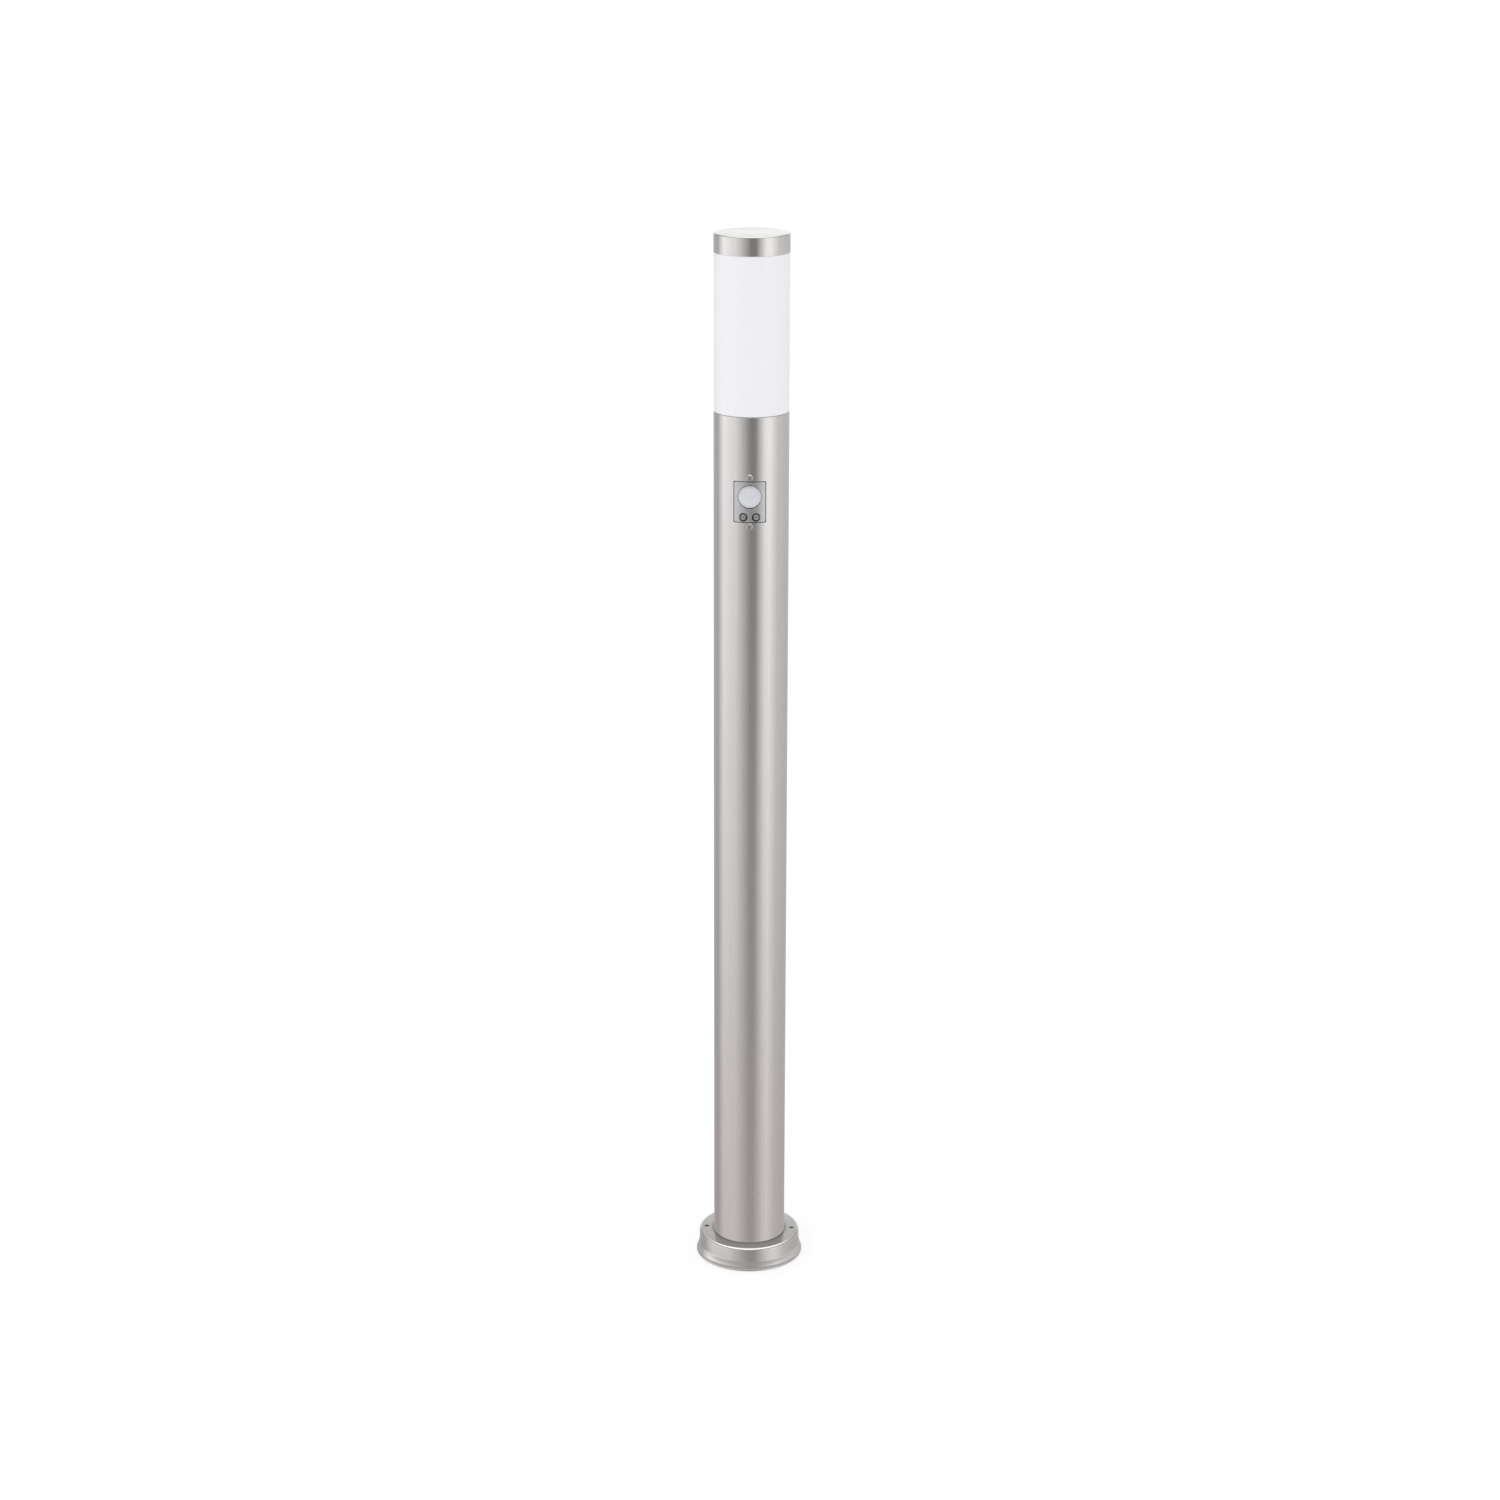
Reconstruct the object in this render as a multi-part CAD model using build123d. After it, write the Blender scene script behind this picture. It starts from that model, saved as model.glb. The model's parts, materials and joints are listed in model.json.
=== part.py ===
from build123d import *
from math import cos, radians, sin, tan
import os

# Bollard light: a brushed stainless steel tube on a drawn base cover, an opal diffuser with
# a flat cap on top, and a motion sensor let into the front of the tube.
# Millimetres. +Z is up, the sensor faces -Y, and the origin is the centre of the base's underside.

os.makedirs("parts", exist_ok=True)

# ---------------------------------------------------------------- driving dimensions
TOTAL_HEIGHT = 1100.0
TUBE_DIAMETER = 76.0
TUBE_WALL = 1.2

CUT = 1.0                      # how far a cutting tool runs past the face it opens
PART_GAP = 0.25                # assembly clearance round a piece set into another
TURN_GAP = 0.3                 # clearance between pieces that turn or lift past each other
RUN_GAP = 0.05                 # radial running clearance of a ring in its seat

# base cover, drawn from sheet
COVER_HEIGHT = 25.0
COVER_WALL = 1.2
COVER_EDGE_RADIUS = 2.5
FLANGE_WIDTH = 15.5            # from the tube to the cover's side wall
COVER_TAPER = 0.3              # how much the side wall leans out down to the kink
KINK_HEIGHT = 10.0
FLARE_WIDTH = 2.4              # from the kink out to the foot of the flare
FLARE_FOOT_HEIGHT = 2.6
FLARE_SAG = 0.2                 # how far the flare bulges out
LIP_RADIUS = 1.25              # half the thickness of the rolled lip
CABLE_WAY_RADIUS = 15.0        # hole up through the base for the wiring
FIXING_OFFSET = 8.0            # from the tube out to the flange hole centres
FIXING_HOLE_RADIUS = 2.5

# pieces under the cover
GASKET_WIDTH = 2.2
GASKET_HEIGHT = 3.0
FOOT_PLATE_THICKNESS = 3.0
FOOT_PLATE_MARGIN = 3.0        # from the cover's side wall in to the plate's rim
BOLT_RADIUS = 2.5              # M5
BOLT_CLEARANCE_RADIUS = 2.75
BOLT_HEAD_RADIUS = 4.6
BOLT_HEAD_HEIGHT = 3.5
BOLT_INSET = 14.0              # from the tube in to the foot bolts
BOLT_ANGLES = (30.0, 150.0, 270.0)
BOLT_ENGAGEMENT = 13.0
BOLT_HOLE_DEPTH = 16.0
WASHER_RADIUS = 5.0
WASHER_THICKNESS = 1.0
INSERT_HEIGHT = 20.0

BRACKET_WIDTH = 24.0
BRACKET_THICKNESS = 2.5
BRACKET_RISER_OFFSET = 5.0     # from the tube in to the riser's inner face
BRACKET_TAB_OVERHANG = 5.5     # of the tab past the fixing holes
ANCHOR_SLOT_RADIUS = 3.25
ANCHOR_SLOT_LENGTH = 12.0
ANCHOR_SPACING = 40.0
NUT_RADIUS = 4.4
NUT_HEIGHT = 4.0

GROMMET_BORE_RADIUS = 5.0
GROMMET_NECK_RADIUS = 7.0
GROMMET_RIM_RADIUS = 9.0
GROMMET_RIM_THICKNESS = 1.5

TERMINAL_PITCH = 9.5
TERMINAL_COUNT = 3
TERMINAL_NEAR_Y = 17.0
TERMINAL_DEPTH = 16.0
TERMINAL_HEIGHT = 11.0
TERMINAL_END_WALL = 1.5
SLEEVE_RADIUS = 2.4
SLEEVE_BORE_RADIUS = 1.5
CLAMP_SCREW_RADIUS = 1.4
CLAMP_SCREW_INSET = 3.6        # from a sleeve's end in to its clamping screw
CLAMP_TIP_GAP = 0.1
FIXING_SCREW_RADIUS = 1.4
TAG_RADIUS = 4.0
TAG_THICKNESS = 0.8
TAG_X = -21.0
TAG_Y = -22.0
TAG_TAIL_LENGTH = 6.0
TAG_TAIL_WIDTH = 3.0
TAG_BARREL_RADIUS = 1.5
TAG_BARREL_LENGTH = 5.0
TAG_BARREL_OVERHANG = 1.0
TAG_SCREW_RADIUS = 2.0
TAG_HEAD_RADIUS = 3.4
TAG_HEAD_HEIGHT = 2.4

# motion sensor, let into the tube
SENSOR_DROP = 85.0             # from the top of the tube down to the sensor's middle
WINDOW_WIDTH = 32.5
WINDOW_HEIGHT = 42.0
WINDOW_CORNER = 1.2
WINDOW_GAP = 0.7                # open joint round the sensor's panel in the window
SENSOR_GASKET_THICKNESS = 0.8
SENSOR_FLANGE_THICKNESS = 2.0
SENSOR_FLANGE_SIDE = 3.0       # flange past the window at each side
SENSOR_FLANGE_END = 9.0        # flange past the window above and below
SENSOR_FLANGE_CORNER = 3.0
SENSOR_SCREW_OFFSET = 3.75     # from the window's edge out to the screw centres
SENSOR_SCREW_RADIUS = 1.5
SENSOR_SCREW_HOLE_RADIUS = 1.7
SENSOR_SCREW_LENGTH = 6.0
SCREW_HEAD_RADIUS = 3.7
SCREW_HEAD_HEIGHT = 1.8
SCREW_RECESS_RADIUS = 1.5
SCREW_RECESS_DEPTH = 1.1
LENS_RISE = 5.3                # lens centre above the window's middle
LENS_RADIUS = 11.7
LENS_WALL = 1.0
LENS_SINK = 3.5                # lens centre behind the tube's outer face
LENS_FLANGE_RADIUS = 13.2
LENS_FLANGE_THICKNESS = 1.0
POT_RISE = 5.6                  # adjuster centres above the window's lower edge
POT_SPACING = 13.0
POT_WELL_RADIUS = 4.4
POT_WELL_DEPTH = 2.2
POT_KNOB_RADIUS = 2.9
POT_KNOB_SINK = 0.9            # knob's front behind the tube's outer face
POT_SLOT_WIDTH = 0.9
POT_SLOT_DEPTH = 1.0
POT_BODY_SIDE = 9.5
POT_BODY_DEPTH = 4.6
COVER_BOX_WIDTH = 32.0
COVER_BOX_HEIGHT = 57.0
COVER_BOX_DEPTH = 32.0         # from the tube's inner face back to the rear cover's back
COVER_BOX_WALL = 1.5
COVER_ENTRY_WIDTH = 14.0
COVER_ENTRY_DEPTH = 9.0
COVER_SCREW_RADIUS = 1.2
COVER_SCREW_HEAD_RADIUS = 2.3
COVER_SCREW_HEAD_HEIGHT = 1.4
COVER_POST_RADIUS = 2.6
COVER_POST_OFFSET = 10.0       # posts stand either side of the middle
COVER_POST_DROP = 9.5          # post centres below the window's middle
BOARD_SETBACK = 12.6           # from the tube's inner face back to the board's front
BOARD_THICKNESS = 1.6
BOARD_WIDTH = 27.0
BOARD_HEIGHT = 51.0
PYRO_RADIUS = 4.6
PYRO_LENGTH = 4.3
PYRO_SPACER = 2.0
RELAY_WIDTH = 10.2
RELAY_HEIGHT = 18.5
RELAY_DEPTH = 12.5
RELAY_X = -7.5
RELAY_RISE = 3.2               # relay's middle above the window's middle
CAPACITOR_RADIUS = 4.0
CAPACITOR_LENGTH = 11.0
CAPACITOR_X = 8.5
CAPACITOR_RISE = 0.5           # lower capacitor's middle above the window's middle
CAPACITOR_SPACING = 8.6
FILM_WIDTH = 13.0
FILM_HEIGHT = 6.0
FILM_DEPTH = 10.5
FILM_DROP = 10.0               # film capacitor's middle below the window's middle
WIRE_TERMINAL_WIDTH = 20.0
WIRE_TERMINAL_HEIGHT = 7.5
WIRE_TERMINAL_DEPTH = 9.5
WIRE_TERMINAL_INSET = 4.0      # from the board's end to the wire terminal
WIRE_HOLE_RADIUS = 1.3

# head: diffuser, cap and bayonet collar
CAP_HEIGHT = 19.0
CAP_WALL = 0.8
CAP_EDGE_RADIUS = 1.2
CAP_SEAL_THICKNESS = 2.0
DIFFUSER_LENGTH = 158.0        # the part that shows between tube and cap
DIFFUSER_STEP = 0.3            # diffuser's face inside the tube's face
DIFFUSER_WALL = 2.5
DIFFUSER_NECK_WALL = 1.8
SEAT_GAP = 0.2                 # between the tube's top and the seated head
SOCKET_RING_HEIGHT = 25.6
SOCKET_SHELF_HEIGHT = 8.5
SOCKET_RING_DROP = 0.4         # ring's top below the tube's top
SOCKET_WALL = 3.3
SHELF_BORE_MARGIN = 5.5        # from the lampholder's shoulder out to the shelf
COLLAR_WALL = 2.4
COLLAR_SPIGOT_HEIGHT = 9.8
COLLAR_SKIRT_LENGTH = 16.7
LUG_COUNT = 3
LUG_START_ANGLE = 90.0
LUG_WIDTH_ANGLE = 20.0
LUG_ENTRY_ANGLE = 25.0
LUG_TRAVEL_ANGLE = 28.0        # how far the head turns to lock
LUG_REACH = 1.8
LUG_HEIGHT = 4.0
LUG_RISE = 2.0                 # lug's underside above the skirt's lower end
O_RING_SECTION = 1.5
O_RING_RISE = 11.0             # O-ring's middle above the skirt's lower end
O_RING_STAND = 0.05            # O-ring proud of the skirt
BRACKET_STRAP_WIDTH = 18.0
BRACKET_STRAP_THICKNESS = 1.5
BRACKET_SCREW_RADIUS = 1.5
BRACKET_SCREW_HEAD_RADIUS = 2.8
BRACKET_SCREW_HEAD_HEIGHT = 1.8
BRACKET_SCREW_LENGTH = 6.0
BRACKET_STRAP_MARGIN = 3.5     # strap's ends inside the tube

# lampholder and bulb, E27
LAMP_SHELL_RADIUS = 13.9
LAMP_SHELL_WALL = 0.4
LAMP_SHELL_LENGTH = 23.0
LAMP_BODY_RADIUS = 19.5
LAMP_SHOULDER_RADIUS = 21.5
LAMP_SHOULDER_HEIGHT = 20.0
LAMP_BODY_HEIGHT = 47.0
LAMP_FLOOR_HEIGHT = 16.0
LAMP_SCREW_SPACING = 22.0
LAMP_SCREW_RADIUS = 1.5
LAMP_SCREW_LENGTH = 9.0
LAMP_WIRE_SPACING = 10.0
LAMP_WIRE_HOLE_RADIUS = 1.5
LAMP_WIRE_HOLE_DEPTH = 8.0
LAMP_WIRE_Y = -9.0
LAMP_CONTACT_RADIUS = 4.0
LAMP_CONTACT_HEIGHT = 2.6
SHADE_RING_WIDTH = 4.5
SHADE_RING_HEIGHT = 6.0
COVER_DISC_THICKNESS = 1.0
COVER_DISC_MARGIN = 0.9        # disc's rim inside the collar
BULB_LENGTH = 104.0
BULB_CLEARANCE = 3.5           # between the globe and the collar it passes through
BULB_CAP_RADIUS = 13.2
BULB_CAP_ROOT_RADIUS = 12.4
BULB_CAP_LENGTH = 24.0
BULB_THREAD_PITCH = 3.63
BULB_THREAD_TURNS = 5
BULB_INSULATOR_RADIUS = 9.0
BULB_INSULATOR_HEIGHT = 2.6
BULB_TIP_RADIUS = 4.8
BULB_TIP_HEIGHT = 1.4
BULB_TIP_GAP = 0.1
BULB_NECK_RADIUS = 13.0
BULB_HOUSING_LENGTH = 34.0
BULB_WALL = 1.2

WIRE_DIAMETER = 1.8
INNER_CABLE_DIAMETER = 7.0
ARC_SHARE = 0.45               # of the shorter run that a bend in a wire uses

# routes of the wires inside the post, chosen by hand; each is written from the piece that it leaves
INNER_CABLE_START = (0.0, 3.0, 46.7)
INNER_CABLE_MIDDLE = (
    (1.0, 5.0, 140.0), (3.0, 10.0, 230.0), (4.0, 14.0, 325.0), (3.0, 15.0, 425.0), (0.0, 12.0, 525.0),
    (-2.0, 6.0, 615.0), (-2.0, -1.0, 695.0),
)
INNER_CABLE_END = (0.0, -1.2, -70.0)
LIVE_FOOT_ROUTE = (
    (0.0, 21.0, 0.0), (0.0, 11.0, -0.3), (-0.5, 4.5, 4.7), (-1.5, 2.6, 18.7), (-1.7, 2.8, 32.7),
    (-1.6, 3.0, 46.5),
)
LIVE_SENSOR_ROUTE = ((-1.6, -1.2, -69.5), (-2.0, -2.2, -57.0), (-5.0, -12.2, -39.0), (-5.0, -12.85, -19.0))
NEUTRAL_FOOT_ROUTE = (
    (9.5, 21.0, 0.0), (9.3, 11.5, -0.3), (6.5, 5.0, 3.7), (2.6, 2.8, 17.7), (1.5, 3.1, 32.7),
    (1.6, 3.0, 46.5),
)
NEUTRAL_SENSOR_ROUTE = ((1.6, -1.2, -69.5), (2.0, -2.2, -57.0), (5.0, -12.2, -39.0), (5.0, -12.85, -19.0))
EARTH_ROUTE = (
    (-9.5, 21.0, 0.0), (-9.5, 11.0, -0.3), (-12.5, 4.0, -0.1), (-17.5, -1.0, 1.7), (-20.8, -5.5, 3.5),
    (-21.0, -10.8, 4.0),
)
SWITCHED_LIVE_SENSOR_END = ((-5.0, -12.85, 18.5), (-5.0, -12.5, 33.0), (-5.6, -7.7, 45.0))
SWITCHED_LIVE_LAMP_END = ((-5.0, 0.0, -4.5), (-5.0, 0.0, 6.0))
LAMP_NEUTRAL_SENSOR_END = ((5.0, -12.85, 18.5), (5.0, -12.5, 33.0), (5.6, -7.7, 45.0))
LAMP_NEUTRAL_LAMP_END = ((5.0, 0.0, -4.5), (5.0, 0.0, 6.0))

# ---------------------------------------------------------------- levels and radii
TUBE_R = TUBE_DIAMETER / 2
TUBE_BORE_R = TUBE_R - TUBE_WALL
POLE_TOP = TOTAL_HEIGHT - CAP_HEIGHT - DIFFUSER_LENGTH
CAP_BOTTOM = TOTAL_HEIGHT - CAP_HEIGHT
COVER_SIDE_R = TUBE_R + FLANGE_WIDTH
COVER_INSIDE_TOP = COVER_HEIGHT - COVER_WALL
FLARE_FOOT_R = COVER_SIDE_R + COVER_TAPER + FLARE_WIDTH
LIP_CENTRE_R = FLARE_FOOT_R - LIP_RADIUS / 2
FIXING_RADIUS = TUBE_R + FIXING_OFFSET
BOLT_CIRCLE_R = TUBE_R - BOLT_INSET
FOOT_PLATE_R = COVER_SIDE_R - FOOT_PLATE_MARGIN
FOOT_PLATE_BOTTOM = COVER_INSIDE_TOP - FOOT_PLATE_THICKNESS
RISER_X = TUBE_R - BRACKET_RISER_OFFSET
TERMINAL_WIDTH = TERMINAL_PITCH * TERMINAL_COUNT + 2 * TERMINAL_END_WALL
TERMINAL_Z = FOOT_PLATE_BOTTOM - TERMINAL_HEIGHT / 2

SENSOR_Z = POLE_TOP - SENSOR_DROP
SENSOR_FLANGE_R = TUBE_BORE_R - SENSOR_GASKET_THICKNESS
SENSOR_BACK_R = SENSOR_FLANGE_R - SENSOR_FLANGE_THICKNESS
SENSOR_SCREW_REACH = WINDOW_HEIGHT / 2 + SENSOR_SCREW_OFFSET
LENS_Z = SENSOR_Z + LENS_RISE
LENS_Y = -(TUBE_R - LENS_SINK)
POT_Z = SENSOR_Z - WINDOW_HEIGHT / 2 + POT_RISE
BOARD_FRONT_Y = -(TUBE_BORE_R - BOARD_SETBACK)
BOARD_BACK_Y = BOARD_FRONT_Y + BOARD_THICKNESS
COVER_BACK_Y = -(TUBE_BORE_R - COVER_BOX_DEPTH)

DIFFUSER_R = TUBE_R - DIFFUSER_STEP
DIFFUSER_BORE_R = DIFFUSER_R - DIFFUSER_WALL
DIFFUSER_NECK_R = TUBE_R - CAP_WALL - PART_GAP / 2
HEAD_BOTTOM = POLE_TOP + SEAT_GAP
NECK_TOP = TOTAL_HEIGHT - CAP_WALL - CAP_SEAL_THICKNESS
SOCKET_TOP = POLE_TOP - SOCKET_RING_DROP
SOCKET_BOTTOM = SOCKET_TOP - SOCKET_RING_HEIGHT
SHELF_TOP = SOCKET_BOTTOM + SOCKET_SHELF_HEIGHT
SOCKET_BORE_R = TUBE_BORE_R - SOCKET_WALL
COLLAR_R = SOCKET_BORE_R - 2 * RUN_GAP
COLLAR_BORE_R = COLLAR_R - COLLAR_WALL
COLLAR_BOTTOM = HEAD_BOTTOM - COLLAR_SKIRT_LENGTH
LUG_R = COLLAR_R + LUG_REACH
LUG_BOTTOM = COLLAR_BOTTOM + LUG_RISE
LUG_TOP = LUG_BOTTOM + LUG_HEIGHT
O_RING_Z = COLLAR_BOTTOM + O_RING_RISE
O_RING_SECTION_R = O_RING_SECTION / 2
O_RING_CENTRE_R = COLLAR_R + O_RING_STAND - O_RING_SECTION_R

SHELF_BORE_R = LAMP_SHOULDER_RADIUS + SHELF_BORE_MARGIN
SHELF_MIDDLE_R = (SHELF_BORE_R + TUBE_BORE_R) / 2
LAMP_BASE = SOCKET_BOTTOM
LAMP_MOUTH = LAMP_BASE + LAMP_BODY_HEIGHT
LAMP_FLOOR = LAMP_BASE + LAMP_FLOOR_HEIGHT
LAMP_SHOULDER_TOP = LAMP_BASE + LAMP_SHOULDER_HEIGHT
BULB_R = COLLAR_BORE_R - BULB_CLEARANCE
CONTACT_TOP = LAMP_FLOOR + LAMP_CONTACT_HEIGHT
TIP_BOTTOM = CONTACT_TOP + BULB_TIP_GAP
INSULATOR_BOTTOM = TIP_BOTTOM + BULB_TIP_HEIGHT
BULB_CAP_BOTTOM = INSULATOR_BOTTOM + BULB_INSULATOR_HEIGHT
BULB_CAP_TOP = BULB_CAP_BOTTOM + BULB_CAP_LENGTH
HOUSING_TOP = BULB_CAP_TOP + BULB_HOUSING_LENGTH
BULB_TOP = TIP_BOTTOM + BULB_LENGTH


# ---------------------------------------------------------------- helpers
def cylinder(radius, low, high, x=0.0, y=0.0):
    """Upright cylinder between two heights."""
    return Pos(x, y, (low + high) / 2) * Cylinder(radius, high - low)


def ring(outer, inner, low, high, x=0.0, y=0.0):
    """Upright tube between two heights."""
    return cylinder(outer, low, high, x, y) - cylinder(inner, low - CUT, high + CUT, x, y)


def block(x_low, x_high, y_low, y_high, z_low, z_high):
    """Box between two corners."""
    centre = Pos((x_low + x_high) / 2, (y_low + y_high) / 2, (z_low + z_high) / 2)
    return centre * Box(x_high - x_low, y_high - y_low, z_high - z_low)


def rod(radius, x, z, y_low, y_high):
    """Cylinder lying along Y."""
    centre = Pos(x, (y_low + y_high) / 2, z)
    return centre * Rot(90, 0, 0) * Cylinder(radius, y_high - y_low)


def front_prism(width, height, corner, z):
    """Rounded rectangle pushed from the axis out through the front of the tube."""
    outline = Plane.XZ * Pos(0, z) * RectangleRounded(width, height, corner)
    return extrude(outline, TUBE_R + CUT)


def polar(radius, angle):
    """X and Y of a point on a circle round the axis."""
    return radius * cos(radians(angle)), radius * sin(radians(angle))


def sector(outer, inner, low, high, start, width):
    """Piece of a tube between two angles."""
    profile = Plane.XZ * Pos((outer + inner) / 2, (low + high) / 2) * Rectangle(outer - inner, high - low)
    return Rot(0, 0, start) * revolve(profile, Axis.Z, width)


def hexagon(circumradius, low, high, x, y):
    """Upright hexagonal prism."""
    outline = Plane.XY.offset(low) * Pos(x, y) * RegularPolygon(circumradius, 6)
    return extrude(outline, high - low)


def arc_radii(points):
    """Bend radius at each inner point of a wire's route."""
    radii = []
    for before, here, after in zip(points, points[1:], points[2:]):
        run_in = Vector(*here) - Vector(*before)
        run_out = Vector(*after) - Vector(*here)
        shorter = min(run_in.length, run_out.length)
        half_turn = radians(run_in.get_angle(run_out)) / 2
        radii.append(ARC_SHARE * shorter / tan(half_turn))
    return radii


def wire(points, diameter):
    """Round wire along straight runs joined by tangent arcs."""
    path = FilletPolyline(*points, radius=arc_radii(points))
    start = Plane(origin=path @ 0, z_dir=path % 0)
    return sweep(start * Circle(diameter / 2), path=path)


def save(node, *shapes):
    """Write one node, with each of its pieces as a separate solid."""
    solids = [solid for shape in shapes for solid in shape.solids()]
    piece = solids[0] if len(solids) == 1 else Compound(solids)
    export_step(piece, f"parts/{node}.step")


# ---------------------------------------------------------------- base
def cover_body(inset, floor):
    """Solid of revolution of the drawn cover, or of its inside when inset by the wall."""
    side = COVER_SIDE_R - inset
    kink = side + COVER_TAPER
    foot = kink + FLARE_WIDTH
    top = COVER_HEIGHT - inset
    edge = COVER_EDGE_RADIUS - inset
    profile = Polyline((0, floor), (foot, floor), (foot, FLARE_FOOT_HEIGHT))
    profile += SagittaArc((foot, FLARE_FOOT_HEIGHT), (kink, KINK_HEIGHT), -FLARE_SAG)
    profile += Line((kink, KINK_HEIGHT), (side, top - edge))
    profile += RadiusArc((side, top - edge), (side - edge, top), -edge)
    profile += Polyline((side - edge, top), (0, top), (0, floor))
    return revolve(Plane.XZ * make_face(profile), Axis.Z)


def base_cover():
    shell = cover_body(0, 0) - cover_body(COVER_WALL, -CUT)
    lip = Pos(0, 0, LIP_RADIUS) * Torus(LIP_CENTRE_R, LIP_RADIUS)
    shell += lip
    shell -= cylinder(CABLE_WAY_RADIUS, 0, COVER_HEIGHT + CUT)
    for side in (-1, 1):
        x = side * FIXING_RADIUS
        shell -= cylinder(FIXING_HOLE_RADIUS, COVER_INSIDE_TOP - CUT, COVER_HEIGHT + CUT, x)
    for angle in BOLT_ANGLES:
        x, y = polar(BOLT_CIRCLE_R, angle)
        shell -= cylinder(BOLT_CLEARANCE_RADIUS, COVER_INSIDE_TOP - CUT, COVER_HEIGHT + CUT, x, y)
    return shell


def base_gasket():
    outer = LIP_CENTRE_R - LIP_RADIUS - PART_GAP
    return ring(outer, outer - GASKET_WIDTH, 0, GASKET_HEIGHT)


def foot_plate():
    plate = cylinder(FOOT_PLATE_R, FOOT_PLATE_BOTTOM, COVER_INSIDE_TOP)
    low = FOOT_PLATE_BOTTOM - CUT
    high = COVER_INSIDE_TOP + CUT
    plate -= cylinder(CABLE_WAY_RADIUS, low, high)
    for side in (-1, 1):
        plate -= cylinder(BOLT_CLEARANCE_RADIUS, low, high, side * FIXING_RADIUS)
    for angle in BOLT_ANGLES:
        x, y = polar(BOLT_CIRCLE_R, angle)
        plate -= cylinder(BOLT_CLEARANCE_RADIUS, low, high, x, y)
    plate -= cylinder(FIXING_SCREW_RADIUS, low, high, TERMINAL_PITCH / 2, terminal_middle_y())
    plate -= cylinder(TAG_SCREW_RADIUS, low, high, TAG_X, TAG_Y)
    return plate


def foot_insert():
    insert = ring(TUBE_BORE_R, CABLE_WAY_RADIUS, COVER_HEIGHT, COVER_HEIGHT + INSERT_HEIGHT)
    for angle in BOLT_ANGLES:
        x, y = polar(BOLT_CIRCLE_R, angle)
        insert -= cylinder(BOLT_RADIUS, COVER_HEIGHT - CUT, COVER_HEIGHT + BOLT_HOLE_DEPTH, x, y)
    return insert


def foot_washers():
    low = FOOT_PLATE_BOTTOM - WASHER_THICKNESS
    places = [polar(BOLT_CIRCLE_R, angle) for angle in BOLT_ANGLES]
    return [ring(WASHER_RADIUS, BOLT_CLEARANCE_RADIUS, low, FOOT_PLATE_BOTTOM, x, y) for x, y in places]


def foot_bolts():
    bolts = []
    head_top = FOOT_PLATE_BOTTOM - WASHER_THICKNESS
    for angle in BOLT_ANGLES:
        x, y = polar(BOLT_CIRCLE_R, angle)
        bolt = hexagon(BOLT_HEAD_RADIUS, head_top - BOLT_HEAD_HEIGHT, head_top, x, y)
        bolt += cylinder(BOLT_RADIUS, head_top, COVER_HEIGHT + BOLT_ENGAGEMENT, x, y)
        bolts.append(bolt)
    return bolts


def ground_bracket():
    half = BRACKET_WIDTH / 2
    riser_out = RISER_X + BRACKET_THICKNESS
    tab_bottom = FOOT_PLATE_BOTTOM - BRACKET_THICKNESS
    reach = FIXING_RADIUS + BRACKET_TAB_OVERHANG
    strap = block(-riser_out, riser_out, -half, half, 0, BRACKET_THICKNESS)
    for side in (-1, 1):
        near, far = sorted((side * RISER_X, side * riser_out))
        strap += block(near, far, -half, half, 0, FOOT_PLATE_BOTTOM)
        near, far = sorted((side * RISER_X, side * reach))
        strap += block(near, far, -half, half, tab_bottom, FOOT_PLATE_BOTTOM)
    strap &= cylinder(reach, 0, FOOT_PLATE_BOTTOM)
    slot_centres = ANCHOR_SLOT_LENGTH - 2 * ANCHOR_SLOT_RADIUS
    for side in (-1, 1):
        slot = Pos(side * ANCHOR_SPACING / 2, 0) * SlotCenterToCenter(slot_centres, 2 * ANCHOR_SLOT_RADIUS)
        strap -= Pos(0, 0, -CUT) * extrude(slot, BRACKET_THICKNESS + 2 * CUT)
        strap -= cylinder(BOLT_CLEARANCE_RADIUS, tab_bottom - CUT, FOOT_PLATE_BOTTOM + CUT,
                          side * FIXING_RADIUS)
    strap -= cylinder(GROMMET_NECK_RADIUS, -CUT, BRACKET_THICKNESS + CUT)
    return strap


def bracket_nuts():
    top = FOOT_PLATE_BOTTOM - BRACKET_THICKNESS
    nuts = []
    for side in (-1, 1):
        x = side * FIXING_RADIUS
        nut = hexagon(NUT_RADIUS, top - NUT_HEIGHT, top, x, 0)
        nuts.append(nut - cylinder(BOLT_RADIUS, top - NUT_HEIGHT - CUT, top + CUT, x))
    return nuts


def cable_grommet():
    rim_top = BRACKET_THICKNESS + GROMMET_RIM_THICKNESS
    grommet = ring(GROMMET_NECK_RADIUS, GROMMET_BORE_RADIUS, 0, rim_top)
    return grommet + ring(GROMMET_RIM_RADIUS, GROMMET_BORE_RADIUS, BRACKET_THICKNESS, rim_top)


def terminal_middle_y():
    return TERMINAL_NEAR_Y + TERMINAL_DEPTH / 2


def terminal_places():
    first = -TERMINAL_PITCH * (TERMINAL_COUNT - 1) / 2
    return [first + TERMINAL_PITCH * index for index in range(TERMINAL_COUNT)]


def clamp_places():
    near = TERMINAL_NEAR_Y + CLAMP_SCREW_INSET
    far = TERMINAL_NEAR_Y + TERMINAL_DEPTH - CLAMP_SCREW_INSET
    return [(x, y) for x in terminal_places() for y in (near, far)]


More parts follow.
